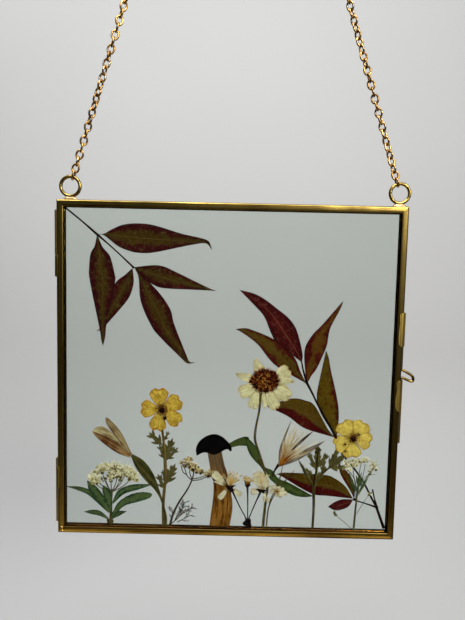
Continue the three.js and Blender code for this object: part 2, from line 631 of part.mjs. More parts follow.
add('small_white_flower', joined([
  ...stemPlates([{ points: [[23.8, STEM_FOOT_Z], [26, -82], [30, -72.6]], width: 0.8 }], 3),
  inLayer(ovalOutline([30.4, -70.6], 5.2, 3.2, 9), 3),
]), CREAM);

// Lower right: a cluster of tiny white flowers on thin stalks.
add('white_cluster', joined([
  ...stemPlates([
    { points: [[76.6, STEM_FOOT_Z], [78, -78], [79, -60]], width: 1.3 },
    { points: [[78, -80], [82, -74], [85.2, -70.4]], width: 0.5 },
    { points: [[76, -93.4], [71, -88], [66.4, -84.6]], width: 0.5 },
  ], 5),
  inLayer(ovalOutline([78.4, -56.4], 9.6, 6.4), 5),
  inLayer(ovalOutline([85, -55], 4.4, 4.6, 12), 5),
  inLayer(ovalOutline([71, -52.6], 3.6, 2.8, 12), 5),
  inLayer(ovalOutline([65.8, -84.2], 1.5, 1.8, 8), 5),
  inLayer(ovalOutline([84.8, -71], 1.4, 1.6, 8), 5),
]), CREAM);

export default model;
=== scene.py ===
"""A hinged brass frame of two glass panes on a chain, with dried flowers and leaves pressed between them."""

from __future__ import annotations

import logging
import random
from collections.abc import Iterable, Sequence
from dataclasses import dataclass, replace
from enum import Enum
from functools import cache
from math import cos, degrees, exp, hypot, pi, radians, sin, sqrt

import bmesh
import bpy
import numpy as np
from bpy.types import ID, Material, NodeSocket, Object
from mathutils import Matrix, Vector

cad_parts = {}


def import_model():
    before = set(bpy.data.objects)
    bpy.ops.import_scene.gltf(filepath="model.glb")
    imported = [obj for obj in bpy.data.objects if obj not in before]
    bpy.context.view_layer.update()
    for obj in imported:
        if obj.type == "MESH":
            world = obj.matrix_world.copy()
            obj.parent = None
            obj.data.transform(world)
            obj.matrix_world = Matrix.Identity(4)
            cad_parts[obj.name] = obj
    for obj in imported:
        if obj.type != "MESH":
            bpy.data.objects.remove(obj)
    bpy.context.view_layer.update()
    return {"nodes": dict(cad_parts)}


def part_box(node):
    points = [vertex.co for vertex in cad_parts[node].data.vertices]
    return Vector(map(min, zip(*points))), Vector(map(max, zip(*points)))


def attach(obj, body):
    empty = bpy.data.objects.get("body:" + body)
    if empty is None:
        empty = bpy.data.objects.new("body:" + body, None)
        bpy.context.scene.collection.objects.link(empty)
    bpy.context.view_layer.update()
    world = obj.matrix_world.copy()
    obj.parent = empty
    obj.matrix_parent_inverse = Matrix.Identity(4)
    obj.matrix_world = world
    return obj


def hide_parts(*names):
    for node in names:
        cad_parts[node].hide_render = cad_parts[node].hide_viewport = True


log = logging.getLogger("pressed_flower_frame")

MM = 0.001
TURN = 2 * pi
PHASES = 6.28
Point = tuple[float, float]
Colour = tuple[float, float, float]
Place = tuple[float, float, float]


# Places ---------------------------------------------------------------------------------------


@dataclass(frozen=True)
class Datum:
    """The middle of the closed frame. Sizes and places here are in millimetres from it."""

    centre: Vector

    @classmethod
    def from_frame(cls) -> Datum:
        """Reads the middle of the closed frame from its channels."""
        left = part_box("back_rail_left")[0]
        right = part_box("back_rail_right")[1]
        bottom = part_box("back_rail_bottom")[0]
        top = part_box("back_rail_top")[1]
        parting = (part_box("front_rail_top")[1].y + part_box("back_rail_top")[0].y) / 2
        return cls(Vector(((left.x + right.x) / 2, parting, (bottom.z + top.z) / 2)))

    def at(self, x: float, z: float, y: float = 0) -> Vector:
        """The row frame's point, in metres, of a place in millimetres from the frame's middle."""
        return self.centre + Vector((x, y, z)) * MM


class Body(Enum):
    """The bodies that a piece can ride on."""

    BACK = "back_pane"
    FRONT = "front_pane"
    BOLT = "bolt"


class Slot(Enum):
    """The record's material slots."""

    FRAME_BRASS = "frame_brass"
    CHAIN_BRASS = "chain_brass"
    LEAF_OLIVE = "leaf_olive"
    LEAF_RED = "leaf_red"
    LEAF_GREEN = "leaf_green"
    STALK = "stalk"
    PETAL_CREAM = "petal_cream"
    PETAL_YELLOW = "petal_yellow"
    BUD_BROWN = "bud_brown"
    MUSHROOM_FLESH = "mushroom_flesh"
    MUSHROOM_CAP = "mushroom_cap"


def settle(piece: Object, body: Body, slot: Slot, *nodes: str) -> None:
    """Fastens a finished piece to its body.

    Args:
        piece: The piece, in place in the row frame.
        body: The body that it rides on.
        slot: The record's slot that its finish comes from; not used.
        nodes: The CAD nodes that it stands for.
    """
    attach(piece, body.value)
    if nodes:
        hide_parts(*nodes)
    log.info("%s: %d faces on %s", piece.name, len(piece.data.polygons), body.value)


def linked(name: str, data: ID) -> Object:
    """Puts an object with some data in the scene."""
    piece = bpy.data.objects.new(name, data)
    bpy.context.scene.collection.objects.link(piece)
    return piece


# Materials ------------------------------------------------------------------------------------

SHEET_MAP = "sheet"
TINT_AND_SHADE = "tint"
SHADE = "shade"
# Marks a channel's inside faces, which the brass darkens as painted shade
INSIDE_SHADE = "inner"
DULL_SHEEN = 0.06


class Signal:
    """A number or colour inside a material; arithmetic on it adds nodes."""

    def __init__(self, shade: Shade, socket: NodeSocket) -> None:
        """Wraps a node's output."""
        self.shade = shade
        self.socket = socket

    def __add__(self, other: Signal | float) -> Signal:
        """The sum."""
        return self.shade.math("ADD", self, other)

    def __sub__(self, other: Signal | float) -> Signal:
        """The difference."""
        return self.shade.math("SUBTRACT", self, other)

    def __rsub__(self, other: float) -> Signal:
        """A number less this one."""
        return self.shade.math("SUBTRACT", other, self)

    def __mul__(self, other: Signal | float) -> Signal:
        """The product."""
        return self.shade.math("MULTIPLY", self, other)

    def __or__(self, other: Signal) -> Signal:
        """The larger of two."""
        return self.shade.math("MAXIMUM", self, other)

    def __abs__(self) -> Signal:
        """The size without its sign."""
        return self.shade.math("ABSOLUTE", self)

    def step(self, low: float, high: float) -> Signal:
        """Rises smoothly from 0 at low to 1 at high."""
        return self.shade.add("MapRange", self, low, high, 0.0, 1.0, interpolation_type="SMOOTHSTEP")

    def blend(self, first: Signal | Colour, second: Signal | Colour) -> Signal:
        """The first colour where this is 0, the second where it is 1."""
        ends = [(*end, 1.0) if isinstance(end, tuple) else end for end in (first, second)]
        return self.shade.add("Mix", self, *[None] * 5, *ends, output=2, data_type="RGBA")

    def ramp(self, *stops: tuple[float, Colour]) -> Signal:
        """The colour at this place among stops, each with its place and colour."""
        colour = self.shade.add("ValToRGB", self)
        elements = colour.socket.node.color_ramp.elements
        while len(elements) < len(stops):
            elements.new(0.5)
        for element, (place, tint) in zip(elements, stops):
            element.position = place
            element.color = (*tint, 1.0)
        return colour


class Shade:
    """A node material under construction, around one Principled surface."""

    def __init__(self, name: str) -> None:
        """Starts a material with a bare Principled surface."""
        self.material = bpy.data.materials.new(name)
        self.material.use_nodes = True
        self.tree = self.material.node_tree
        self.surface = self.tree.nodes["Principled BSDF"]

    def give(self, socket: NodeSocket, value: object) -> None:
        """Links an input or sets it; None leaves it as it is."""
        if isinstance(value, Signal):
            self.tree.links.new(value.socket, socket)
        elif value is not None:
            socket.default_value = value

    def add(self, kind: str, *values: object, output: int = 0, **settings: object) -> Signal:
        """Adds a node.

        Args:
            kind: The node's type, without its ShaderNode prefix.
            values: Signals or plain values for its inputs in order; None leaves one as it is.
            output: Which of its outputs is wanted.
            settings: The node's own settings.

        Returns:
            The output.
        """
        node = self.tree.nodes.new("ShaderNode" + kind)
        for key, value in settings.items():
            setattr(node, key, value)
        for socket, value in zip(node.inputs, values):
            self.give(socket, value)
        return Signal(self, node.outputs[output])

    def math(self, operation: str, *values: Signal | float, clamp: bool = False) -> Signal:
        """One arithmetic step."""
        return self.add("Math", *values, operation=operation, use_clamp=clamp)

    def noise(self, scale: Colour | float | Signal, detail: float = 3.0, roughness: float = 0.55,
              distortion: float = 0.0, sheet: bool = False) -> Signal:
        """Soft noise from 0 to 1.

        Args:
            scale: How dense it is, the same all ways or along each axis; or its ready coordinates.
            detail: How many finer layers it has.
            roughness: How strong these are.
            distortion: How swirled it is.
            sheet: True for the piece's own across and along, False for metres in the frame.

        Returns:
            The noise.
        """
        place = scale
        if not isinstance(scale, Signal):
            source = self.add("UVMap", uv_map=SHEET_MAP) if sheet else self.add("TexCoord", output=3)
            place = self.add("Mapping", source, None, None,
                             scale if isinstance(scale, tuple) else (scale,) * 3)
        return self.add("TexNoise", place, None, 1.0, detail, roughness, None, None, None, distortion)

    def along(self) -> tuple[Signal, Signal]:
        """The piece's own coordinates: 0 to 1 across, and 0 to 1 along from its base."""
        across = self.add("SeparateXYZ", self.add("UVMap", uv_map=SHEET_MAP))
        return across, Signal(self, across.socket.node.outputs[1])

    def attribute(self, name: str) -> Signal:
        """A number stored on the mesh."""
        return self.add("Attribute", output=2, attribute_name=name)

    def finish(self, colour: Signal | Colour, relief: Signal | None = None, depth: float = 0.0,
               strength: float = 1.0, **values: object) -> Material:
        """Sets the surface and ends the material.

        Args:
            colour: Its base colour.
            relief: A pattern that raises it.
            depth: The relief's depth in metres.
            strength: The relief's strength.
            values: Its other inputs by name, with underscores for spaces.

        Returns:
            The material.
        """
        if isinstance(colour, tuple):
            colour = (*colour, 1.0)
        if relief is not None:
            bump = self.add("Bump")
            inputs = bump.socket.node.inputs
            for key, value in (("Strength", strength), ("Distance", depth), ("Height", relief)):
                self.give(inputs[key], value)
            values["Normal"] = bump
        for key, value in {"Base_Color": colour, **values}.items():
            self.give(self.surface.inputs[key.replace("_", " ")], value)
        return self.material


@dataclass(frozen=True)
class Finish:
    """A named finish."""

    name: str

    def paint(self, shade: Shade) -> Material:
        """Builds the finish on a bare surface; each kind has its own way."""
        raise NotImplementedError

    @cache
    def material(self) -> Material:
        """The finish's material, built once."""
        return self.paint(Shade(self.name))


class Grain(Enum):
    """Which way a brass piece was drawn, as the density of its streaks along X, Y and Z."""

    ACROSS = (14.0, 900.0, 1300.0)
    UPRIGHT = (1300.0, 900.0, 14.0)
    NONE = (420.0, 420.0, 420.0)


@dataclass(frozen=True)
class Brass(Finish):
    """Unlacquered brass, tarnished in streaks along the way it was drawn; the streaks are partly painted
    reflection.
    """

    grain: Grain
    bright: Colour = (0.56, 0.4, 0.1)
    dull: Colour = (0.22, 0.15, 0.035)
    dark: Colour = (0.03, 0.018, 0.006)
    # How dark the tones sit: how tarnished it is, and for the darker upright rails painted shade
    tarnish_and_shade: float = 0.5
    polish: float = 0.2
    worn: float = 0.2
    # inside: painted shade and dark reflection on the channel's inside faces
    inside: Colour = (0.05, 0.02, 0.005)

    def paint(self, shade: Shade) -> Material:
        """Blends the three tones by streaks, clouds and specks, and darkens the inside faces as painted
        shade.
        """
        streak = shade.noise(self.grain.value, 4.0, 0.6)
        cloud = shade.noise((26.0, 60.0, 26.0), 3.0, 0.5, 0.6)
        speck = shade.noise(900.0, 2.0)
        blend = streak * 0.62 + cloud * 0.38
        middle = 0.5 - (self.tarnish_and_shade - 0.5) * 0.3
        # Dark and bright streaks: partly tarnished brass, partly painted reflection
        colour = blend.ramp((middle - 0.14, self.dark), (middle - 0.02, self.dull),
                            (middle + 0.12, self.bright))
        colour = (speck.step(0.66, 0.74) * self.worn).blend(colour, self.dark)
        # Painted shade: the channel's inside faces darken towards the inside tone
        colour = (shade.attribute(INSIDE_SHADE) * 0.9).blend(colour, self.inside)
        rough = (1.0 - blend) * 0.36 + (self.polish - 0.1)
        return shade.finish(colour, streak + speck * 0.25, 0.00006, 0.5, Metallic=1.0, Roughness=rough)


@dataclass(frozen=True)
class ClearGlass(Finish):
    """Thin float glass, a little green, with faint smears from handling."""

    tint: Colour = (0.905, 0.938, 0.912)
    smear: float = 0.02

    def paint(self, shade: Shade) -> Material:
        """Clear all over, and a little rougher in the smears."""
        cloud = shade.noise((9.0, 9.0, 14.0), 2.0, 0.5, 1.2)
        rough = cloud.step(0.52, 0.75) * self.smear
        return shade.finish(self.tint, Transmission_Weight=1.0, IOR=1.5, Roughness=rough,
                            Specular_IOR_Level=0.5)


LYING = Brass("aged_brass_lying", Grain.ACROSS)
# The upright rails take darker copies of the brass: painted shade against the lamps' reflections, darkest on
# the right
STANDING = Brass("aged_brass_standing", Grain.UPRIGHT, tarnish_and_shade=0.72)
SHADED = Brass("aged_brass_shaded", Grain.UPRIGHT, (0.26, 0.18, 0.045), (0.1, 0.066, 0.016),
               (0.02, 0.011, 0.004), 0.8)
# A warm, bright copy of the brass for the back pane's bottom rail: a painted amber reflection
PAINTED_AMBER_REFLECTION = Brass("brass_painted_amber_reflection", Grain.ACROSS, (0.85, 0.42, 0.07), (0.42, 0.16, 0.02),
              (0.1, 0.026, 0.005), 0.42, 0.14)
PLAIN = Brass("aged_brass_strap", Grain.UPRIGHT, tarnish_and_shade=0.55, polish=0.34, worn=0.4)
WIRE = Brass("bright_brass_wire", Grain.NONE, (0.62, 0.4, 0.15), (0.3, 0.17, 0.05),
             (0.07, 0.034, 0.011), 0.52, 0.2, 0.1)
SOLDER = Brass("soft_solder", Grain.NONE, (0.6, 0.45, 0.26), (0.42, 0.28, 0.14), (0.2, 0.12, 0.05),
               0.45, 0.4, 0.2)


# Camera and studio ----------------------------------------------------------------------------


@dataclass(frozen=True)
class Viewpoint:
    """Where the frame is looked at from: a little to the right of its middle and well above it."""

    place: Place = (1.4, -270.14, 56.72)
    focal_pixels: float = 466.0
    picture_height: float = 620.0
    sensor: float = 36.0
    turn: float = 0.00084757
    pitch: float = -0.0729341
    roll: float = -0.0221678

    def make(self, datum: Datum) -> None:
        """Adds the camera and makes it the scene's own."""
        data = bpy.data.cameras.new("viewpoint")
        data.sensor_fit = "AUTO"
        data.sensor_width = self.sensor
        data.lens = self.focal_pixels / self.picture_height * self.sensor
        data.clip_start = 0.005
        camera = linked("viewpoint", data)
        turns = ((self.turn, "Z"), (self.pitch, "X"), (self.roll, "Y"))
        about_z, about_x, about_y = (Matrix.Rotation(angle, 3, axis) for angle, axis in turns)
        right, forward, up = (about_z @ about_x @ about_y).col
        turned = Matrix((right, up, -forward)).transposed().to_4x4()
        x, y, z = self.place
        camera.matrix_world = Matrix.Translation(datum.at(x, z, y)) @ turned
        bpy.context.scene.camera = camera


@dataclass(frozen=True)
class SoftBox:
    """One large soft lamp, in metres from the frame's middle."""

    name: str
    place: Place
    size: tuple[float, float]
    power: float
    colour: Colour = (1.0, 1.0, 1.0)
    target: Place = (0.0, 0.0, 0.0)

    def make(self, datum: Datum) -> None:
        """Adds the lamp, pointing at its target."""
        data = bpy.data.lights.new(self.name, "AREA")
        data.shape = "RECTANGLE"
        data.size, data.size_y = self.size
        data.energy = self.power
        data.color = self.colour
        lamp = linked(self.name, data)
        place = datum.centre + Vector(self.place)
        aim = datum.centre + Vector(self.target) - place
        lamp.matrix_world = Matrix.Translation(place) @ aim.to_track_quat("-Z", "Y").to_matrix().to_4x4()


@dataclass(frozen=True)
class Paper(Finish):
    """Pale paper in two tones that are almost one."""

    body: Colour

    def paint(self, shade: Shade) -> Material:
        """Soft clouds of a slightly darker tone."""
        darker = tuple(c * 0.96 for c in self.body)
        return shade.finish(shade.noise(1.1, 2.0).step(0.35, 0.7).blend(self.body, darker), Roughness=0.95)


@dataclass(frozen=True)
class Studio:
    """A pale paper sweep behind and below the frame, and soft lamps round it."""

    wall_distance: float = 0.9
    floor_drop: float = 0.62
    bend: float = 0.5
    half_width: float = 5.0
    front_reach: float = -0.15
    height: float = 2.4
    paper: Paper = Paper("pale_paper", (0.475, 0.478, 0.478))
    sky: Colour = (0.5, 0.51, 0.52)
    sky_strength: float = 0.02
    lamps: tuple[SoftBox, ...] = (
        SoftBox("wall_wash", (-0.6, 0.1, 1.45), (2.4, 0.8), 14.6, target=(-0.5, 0.9, -0.3)),
        SoftBox("key_upper_right", (0.75, -1.1, 0.62), (0.7, 0.4), 20.0, (1.0, 0.97, 0.92)),
        SoftBox("fill_overhead", (0.0, -0.75, 1.3), (1.3, 0.6), 34.0, (0.98, 0.99, 1.0)),
        SoftBox("warm_low_front", (0.0, -0.95, -0.95), (1.4, 0.4), 1.9, (1.0, 0.76, 0.4)),
    )

    def sweep(self, datum: Datum) -> Object:
        """The paper: a floor that curves up into a wall."""
        line = [(-self.front_reach, -self.floor_drop)]
        turn_y, turn_z = self.wall_distance - self.bend, -self.floor_drop + self.bend
        steps = 16
        for i in range(steps + 1):
            angle = pi / 2 * i / steps
            line.append((turn_y + self.bend * sin(angle), turn_z - self.bend * cos(angle)))
        line.append((self.wall_distance, self.height))
        points = [datum.centre + Vector((side * self.half_width, y, z)) for y, z in line for side in (-1, 1)]
        faces = [(2 * i, 2 * i + 1, 2 * i + 3, 2 * i + 2) for i in range(len(line) - 1)]
        mesh = bpy.data.meshes.new("paper_sweep")
        mesh.from_pydata([tuple(p) for p in points], [], faces)
        mesh.polygons.foreach_set("use_smooth", [True] * len(faces))
        mesh.materials.append(self.paper.material())
        return linked("paper_sweep", mesh)

    def make(self, datum: Datum) -> None:
        """Adds the paper, the lamps and the soft light all round."""
        self.sweep(datum)
        for lamp in self.lamps:
            lamp.make(datum)
        world = bpy.data.worlds.new("soft_room")
        bpy.context.scene.world = world
        world.use_nodes = True
        background = world.node_tree.nodes["Background"]
        background.inputs["Color"].default_value = (*self.sky, 1.0)
        background.inputs["Strength"].default_value = self.sky_strength
        bpy.context.scene.view_settings.view_transform = "Standard"


# Mesh and node-tree tools ---------------------------------------------------------------------


def mesh_object(name: str, points: Iterable[Vector], faces: Sequence[Sequence[int]], finish: Finish,
                sharp_angle: float = 40.0) -> Object:
    """Makes a smooth-shaded mesh object.

    Args:
        name: The object's name.
        points: Its corners, in the row frame in metres.
        faces: Corner numbers of each face.
        finish: Its finish.
        sharp_angle: Edges bent further than this, in degrees, stay sharp.

    Returns:
        The object, with its normals pointing outwards.
    """
    mesh = bpy.data.meshes.new(name)
    mesh.from_pydata([tuple(p) for p in points], [], faces)
    mesh.materials.append(finish.material())
    return smooth(linked(name, mesh), sharp_angle)


def mark(piece: Object, name: str, values: Sequence[float]) -> None:
    """Stores a number on each of a mesh's corners."""
    store = piece.data.attributes.new(name, "FLOAT", "POINT")
    store.data.foreach_set("value", np.array(values, np.float32))


def smooth(piece: Object, sharp_angle: float = 40.0) -> Object:
    """Turns every face outwards and shades the piece smooth up to an angle."""
    mesh = piece.data
    work = bmesh.new()
    work.from_mesh(mesh)
    bmesh.ops.recalc_face_normals(work, faces=work.faces)
    work.to_mesh(mesh)
    work.free()
    mesh.polygons.foreach_set("use_smooth", [True] * len(mesh.polygons))
    mesh.set_sharp_from_angle(angle=radians(sharp_angle))
    return piece


def lofted(sections: Sequence[Sequence]) -> tuple[list, list[tuple[int, ...]]]:
    """Joins closed sections of equal point counts into one skin.

    Args:
        sections: Rings of points, in order.

    Returns:
        Points and faces, with the ends closed.
    """
    count = len(sections[0])
    points = [p for section in sections for p in section]
    faces = []
    for here in range(0, len(points) - count, count):
        there = here + count
        for j in range(count):
            k = (j + 1) % count
            faces.append((here + j, here + k, there + k, there + j))
    faces.append(tuple(range(count)))
    faces.append(tuple(range(len(points) - count, len(points))))
    return points, faces


def curve_through(points: Sequence[Vector], steps: int) -> list[Vector]:
    """A smooth line through points, as evenly numbered steps of a Catmull-Rom curve."""
    ends = [points[0] * 2 - points[1], *points, points[-1] * 2 - points[-2]]
    line = []
    spans = len(points) - 1
    for i in range(steps + 1):
        t = i / steps * spans
        k = min(int(t), spans - 1)
        t -= k
        a, b, c, d = ends[k:k + 4]
        square = (2 * a - 5 * b + 4 * c - d) * t * t
        cube = (3 * b - a - 3 * c + d) * t ** 3
        line.append(0.5 * (2 * b + (c - a) * t + square + cube))
    return line


def tube_sections(line: Sequence[Vector], radii: Sequence[float], sides: int,
                  flat: float = 1.0) -> list[list[Vector]]:
    """Round sections along a line that lies about in the XZ plane.

    Args:
        line: The tube's middle line.
        radii: Its radius at each point.
        sides: Points around each section.
        flat: Its thickness front to back as a share of its width.

    Returns:
        One ring of points for each point of the line.
    """
    depth = Vector((0.0, 1.0, 0.0))
    sections = []
    for i, (here, radius) in enumerate(zip(line, radii)):
        ahead = line[min(i + 1, len(line) - 1)] - line[max(i - 1, 0)]
        across = depth.cross(ahead).normalized()
        out = ahead.cross(across).normalized()
        sections.append([
            here + across * radius * cos(angle) + out * radius * flat * sin(angle)
            for angle in (TURN * j / sides for j in range(sides))
        ])
    return sections


class Tree:
    """A Geometry Nodes tree under construction."""

    def __init__(self, name: str) -> None:
        """Starts a tree with a mesh in and a mesh out."""
        self.tree = bpy.data.node_groups.new(name, "GeometryNodeTree")
        self.tree.interface.new_socket("Geometry", in_out="INPUT", socket_type="NodeSocketGeometry")
        self.tree.interface.new_socket("Geometry", in_out="OUTPUT", socket_type="NodeSocketGeometry")
        self.entry = self.tree.nodes.new("NodeGroupInput")
        self.exit = self.tree.nodes.new("NodeGroupOutput")
        self.values: dict[str, object] = {}

    def size(self, name: str, value: object, kind: str = "Float") -> NodeSocket:
        """Adds a named input with its value, and returns its socket inside the tree."""
        item = self.tree.interface.new_socket(name, in_out="INPUT", socket_type="NodeSocket" + kind)
        self.values[item.identifier] = value
        return next(s for s in self.entry.outputs if s.identifier == item.identifier)

    def add(self, kind: str, settings: dict[str, object] | None = None, **inputs: object) -> NodeSocket:
        """Adds a node, with its inputs named, and returns its first output."""
        node = self.tree.nodes.new(kind)
        for key, value in (settings or {}).items():
            setattr(node, key, value)
        for key, value in inputs.items():
            name = key.replace("_", " ")
            socket = next(s for s in node.inputs if s.name == name and s.enabled)
            self.give(socket, value)
        return node.outputs[0]

    def give(self, socket: NodeSocket, value: object) -> None:
        """Links an input or sets it."""
        if isinstance(value, NodeSocket):
            self.tree.links.new(value, socket)
        else:
            socket.default_value = value

    def math(self, operation: str, *values: object) -> NodeSocket:
        """One arithmetic step."""
        result = self.add("ShaderNodeMath", {"operation": operation})
        for socket, value in zip(result.node.inputs, values):
            self.give(socket, value)
        return result

    def apply(self, name: str, seat: Object, result: NodeSocket, finish: Finish) -> Object:
        """Ends the tree, runs it on a seat and keeps what it makes as a plain mesh.

        Args:
            name: The new object's name.
            seat: The mesh that the tree starts from; it is removed.
            result: The tree's last geometry.
            finish: The finish of everything made.

        Returns:
            The new object.
        """
        real = self.add("GeometryNodeRealizeInstances", Geometry=result)
        dressed = self.add("GeometryNodeSetMaterial", Geometry=real, Material=finish.material())
        self.tree.links.new(dressed, self.exit.inputs[0])
        modifier = seat.modifiers.new("made", "NODES")
        modifier.node_group = self.tree
        for identifier, value in self.values.items():
            modifier[identifier] = value
        ready = seat.evaluated_get(bpy.context.evaluated_depsgraph_get())
        mesh = bpy.data.meshes.new_from_object(ready)
        mesh.name = name
        bpy.data.objects.remove(seat)
        return linked(name, mesh)


# Chain and rings ------------------------------------------------------------------------------

PANE_Y = 1.775
EYELETS = (-93.5, 95.8)


@dataclass(frozen=True)
class Ring:
    """A ring of round wire that faces the front."""

    name: str
    x: float
    z: float
    outer: float
    wire: float
    y: float = PANE_Y
    seam_angle: float = -2.2
    seam: float = 0.05

    @property
    def mean(self) -> float:
        """Radius of the wire's middle line."""
        return (self.outer - self.wire) / 2

    def make(self, datum: Datum, finish: Finish) -> Object:
        """Builds the ring as one bent wire with rounded ends that meet at a fine seam."""
        turn = TURN - self.seam / self.mean
        steps = 96
        line = []
        for i in range(steps + 1):
            angle = self.seam_angle + turn * i / steps
            line.append(datum.at(self.x + self.mean * cos(angle), self.z + self.mean * sin(angle), self.y))
        radii = [self.wire / 2 * MM] * len(line)
        radii[0] = radii[-1] = 0.9 * radii[1]
        return mesh_object(self.name, *lofted(tube_sections(line, radii, 20)), finish)


@dataclass(frozen=True)
class Chain:
    """Two straight legs of oval links from the eyelet rings up to a small hanging ring."""

    datum: Datum
    left: Ring = Ring("eyelet_left", EYELETS[0], 106.0, 13.0, 1.95)
    right: Ring = Ring("eyelet_right", EYELETS[1], 106.0, 13.0, 1.95)
    hanger: Ring = Ring("hanging_ring_wire", -1.5, 410.0, 11.0, 1.5)
    link_width: float = 4.7
    wire: float = 1.12
    pitch: float = 4.03
    top_angle: float = 20.0
    slow_twist: float = 5.5

    def leg_ends(self, ring: Ring, side: int) -> tuple[Vector, Vector]:
        """Where a leg's first and last links bear on their rings, in millimetres."""
        angle = radians(self.top_angle)
        mean = self.hanger.mean
        top = Vector((self.hanger.x + side * mean * sin(angle), ring.y, self.hanger.z - mean * cos(angle)))
        foot = Vector((ring.x, ring.y, ring.z))
        along = (top - foot).normalized()
        foot += along * (ring.mean - ring.wire / 2)
        top += along * self.hanger.wire / 2
        return foot, top

    def leg(self, name: str, ring: Ring, side: int, node: str) -> None:
        """Args:
            name: The leg's name.
            ring: The eyelet ring that it starts from.
            side: -1 on the left, 1 on the right.
            node: The CAD tube that it stands for.
        """
        foot, top = self.leg_ends(ring, side)
        span = (top - foot).length
        count = round((span - self.wire) / self.pitch)
        pitch = (span - self.wire) / count
        along = (top - foot).normalized()
        start = foot + along * (pitch / 2)
        end = top - along * (pitch / 2)
        seat = bpy.data.meshes.new(name)
        seat.from_pydata([tuple(self.datum.at(p.x, p.z, p.y)) for p in (start, end)], [(0, 1)], [])
        piece = self.links(name, linked(name + "_seat", seat), count, pitch)
        route = [self.datum.at(p.x, p.z, p.y) for p in (foot.lerp(top, i / 78) for i in range(79))]
        settle(piece, Body.BACK, Slot.CHAIN_BRASS, node)
        self.link_width * MM

    def links(self, name: str, seat: Object, count: int, pitch: float) -> Object:
        """Strings links along a seat's one edge, each a quarter turn from the last."""
        tree = Tree("chain_links")
        number = tree.size("Links", count, "Int")
        wire = tree.size("Wire", self.wire / 2 * MM)
        width = tree.size("Middle width", (self.link_width - self.wire) * MM)
        length = tree.size("Middle length", (pitch + self.wire) * MM)
        twist = tree.size("Turn of each link", radians(90 + self.slow_twist))
        line = tree.add("GeometryNodeMeshToCurve", Mesh=tree.entry.outputs[0])
        spots = tree.add("GeometryNodeResampleCurve", Curve=line, Count=number)
        oval = tree.add("GeometryNodeCurvePrimitiveCircle", {"mode": "RADIUS"}, Resolution=22, Radius=0.5)
        scale = tree.add("ShaderNodeCombineXYZ", X=width, Y=1.0, Z=length)
        upright = tree.add("GeometryNodeTransform", Geometry=oval, Rotation=(pi / 2, 0.0, 0.0))
        shaped = tree.add("GeometryNodeTransform", Geometry=upright, Scale=scale)
        section = tree.add("GeometryNodeCurvePrimitiveCircle", {"mode": "RADIUS"}, Resolution=9, Radius=wire)
        link = tree.add("GeometryNodeCurveToMesh", Curve=shaped, Profile_Curve=section)
        tangent = tree.add("GeometryNodeInputTangent")
        facing = tree.add("FunctionNodeAlignRotationToVector", {"axis": "Z"}, Vector=tangent)
        angle = tree.math("MULTIPLY_ADD", tree.add("GeometryNodeInputIndex"), twist, pi / 2)
        spin = tree.add("FunctionNodeAxisAngleToRotation", Axis=(0.0, 0.0, 1.0), Angle=angle)
        turned = tree.add("FunctionNodeRotateRotation", {"rotation_space": "LOCAL"}, Rotation=facing,
                          Rotate_By=spin)
        strung = tree.add("GeometryNodeInstanceOnPoints", Points=spots, Instance=link, Rotation=turned)
        return smooth(tree.apply(name, seat, strung, WIRE), 180.0)

    def make(self) -> None:
        """Builds the three rings and the two legs."""
        for ring, node in ((self.left, "ring_left"), (self.right, "ring_right")):
            settle(ring.make(self.datum, LYING), Body.BACK, Slot.FRAME_BRASS, node)
        settle(self.hanger.make(self.datum, WIRE), Body.BACK, Slot.CHAIN_BRASS, "hanging_ring")
        self.leg("chain_leg_left", self.left, -1, "chain_left")
        self.leg("chain_leg_right", self.right, 1, "chain_right")


# Channel rails, straps and bolt ---------------------------------------------------------------


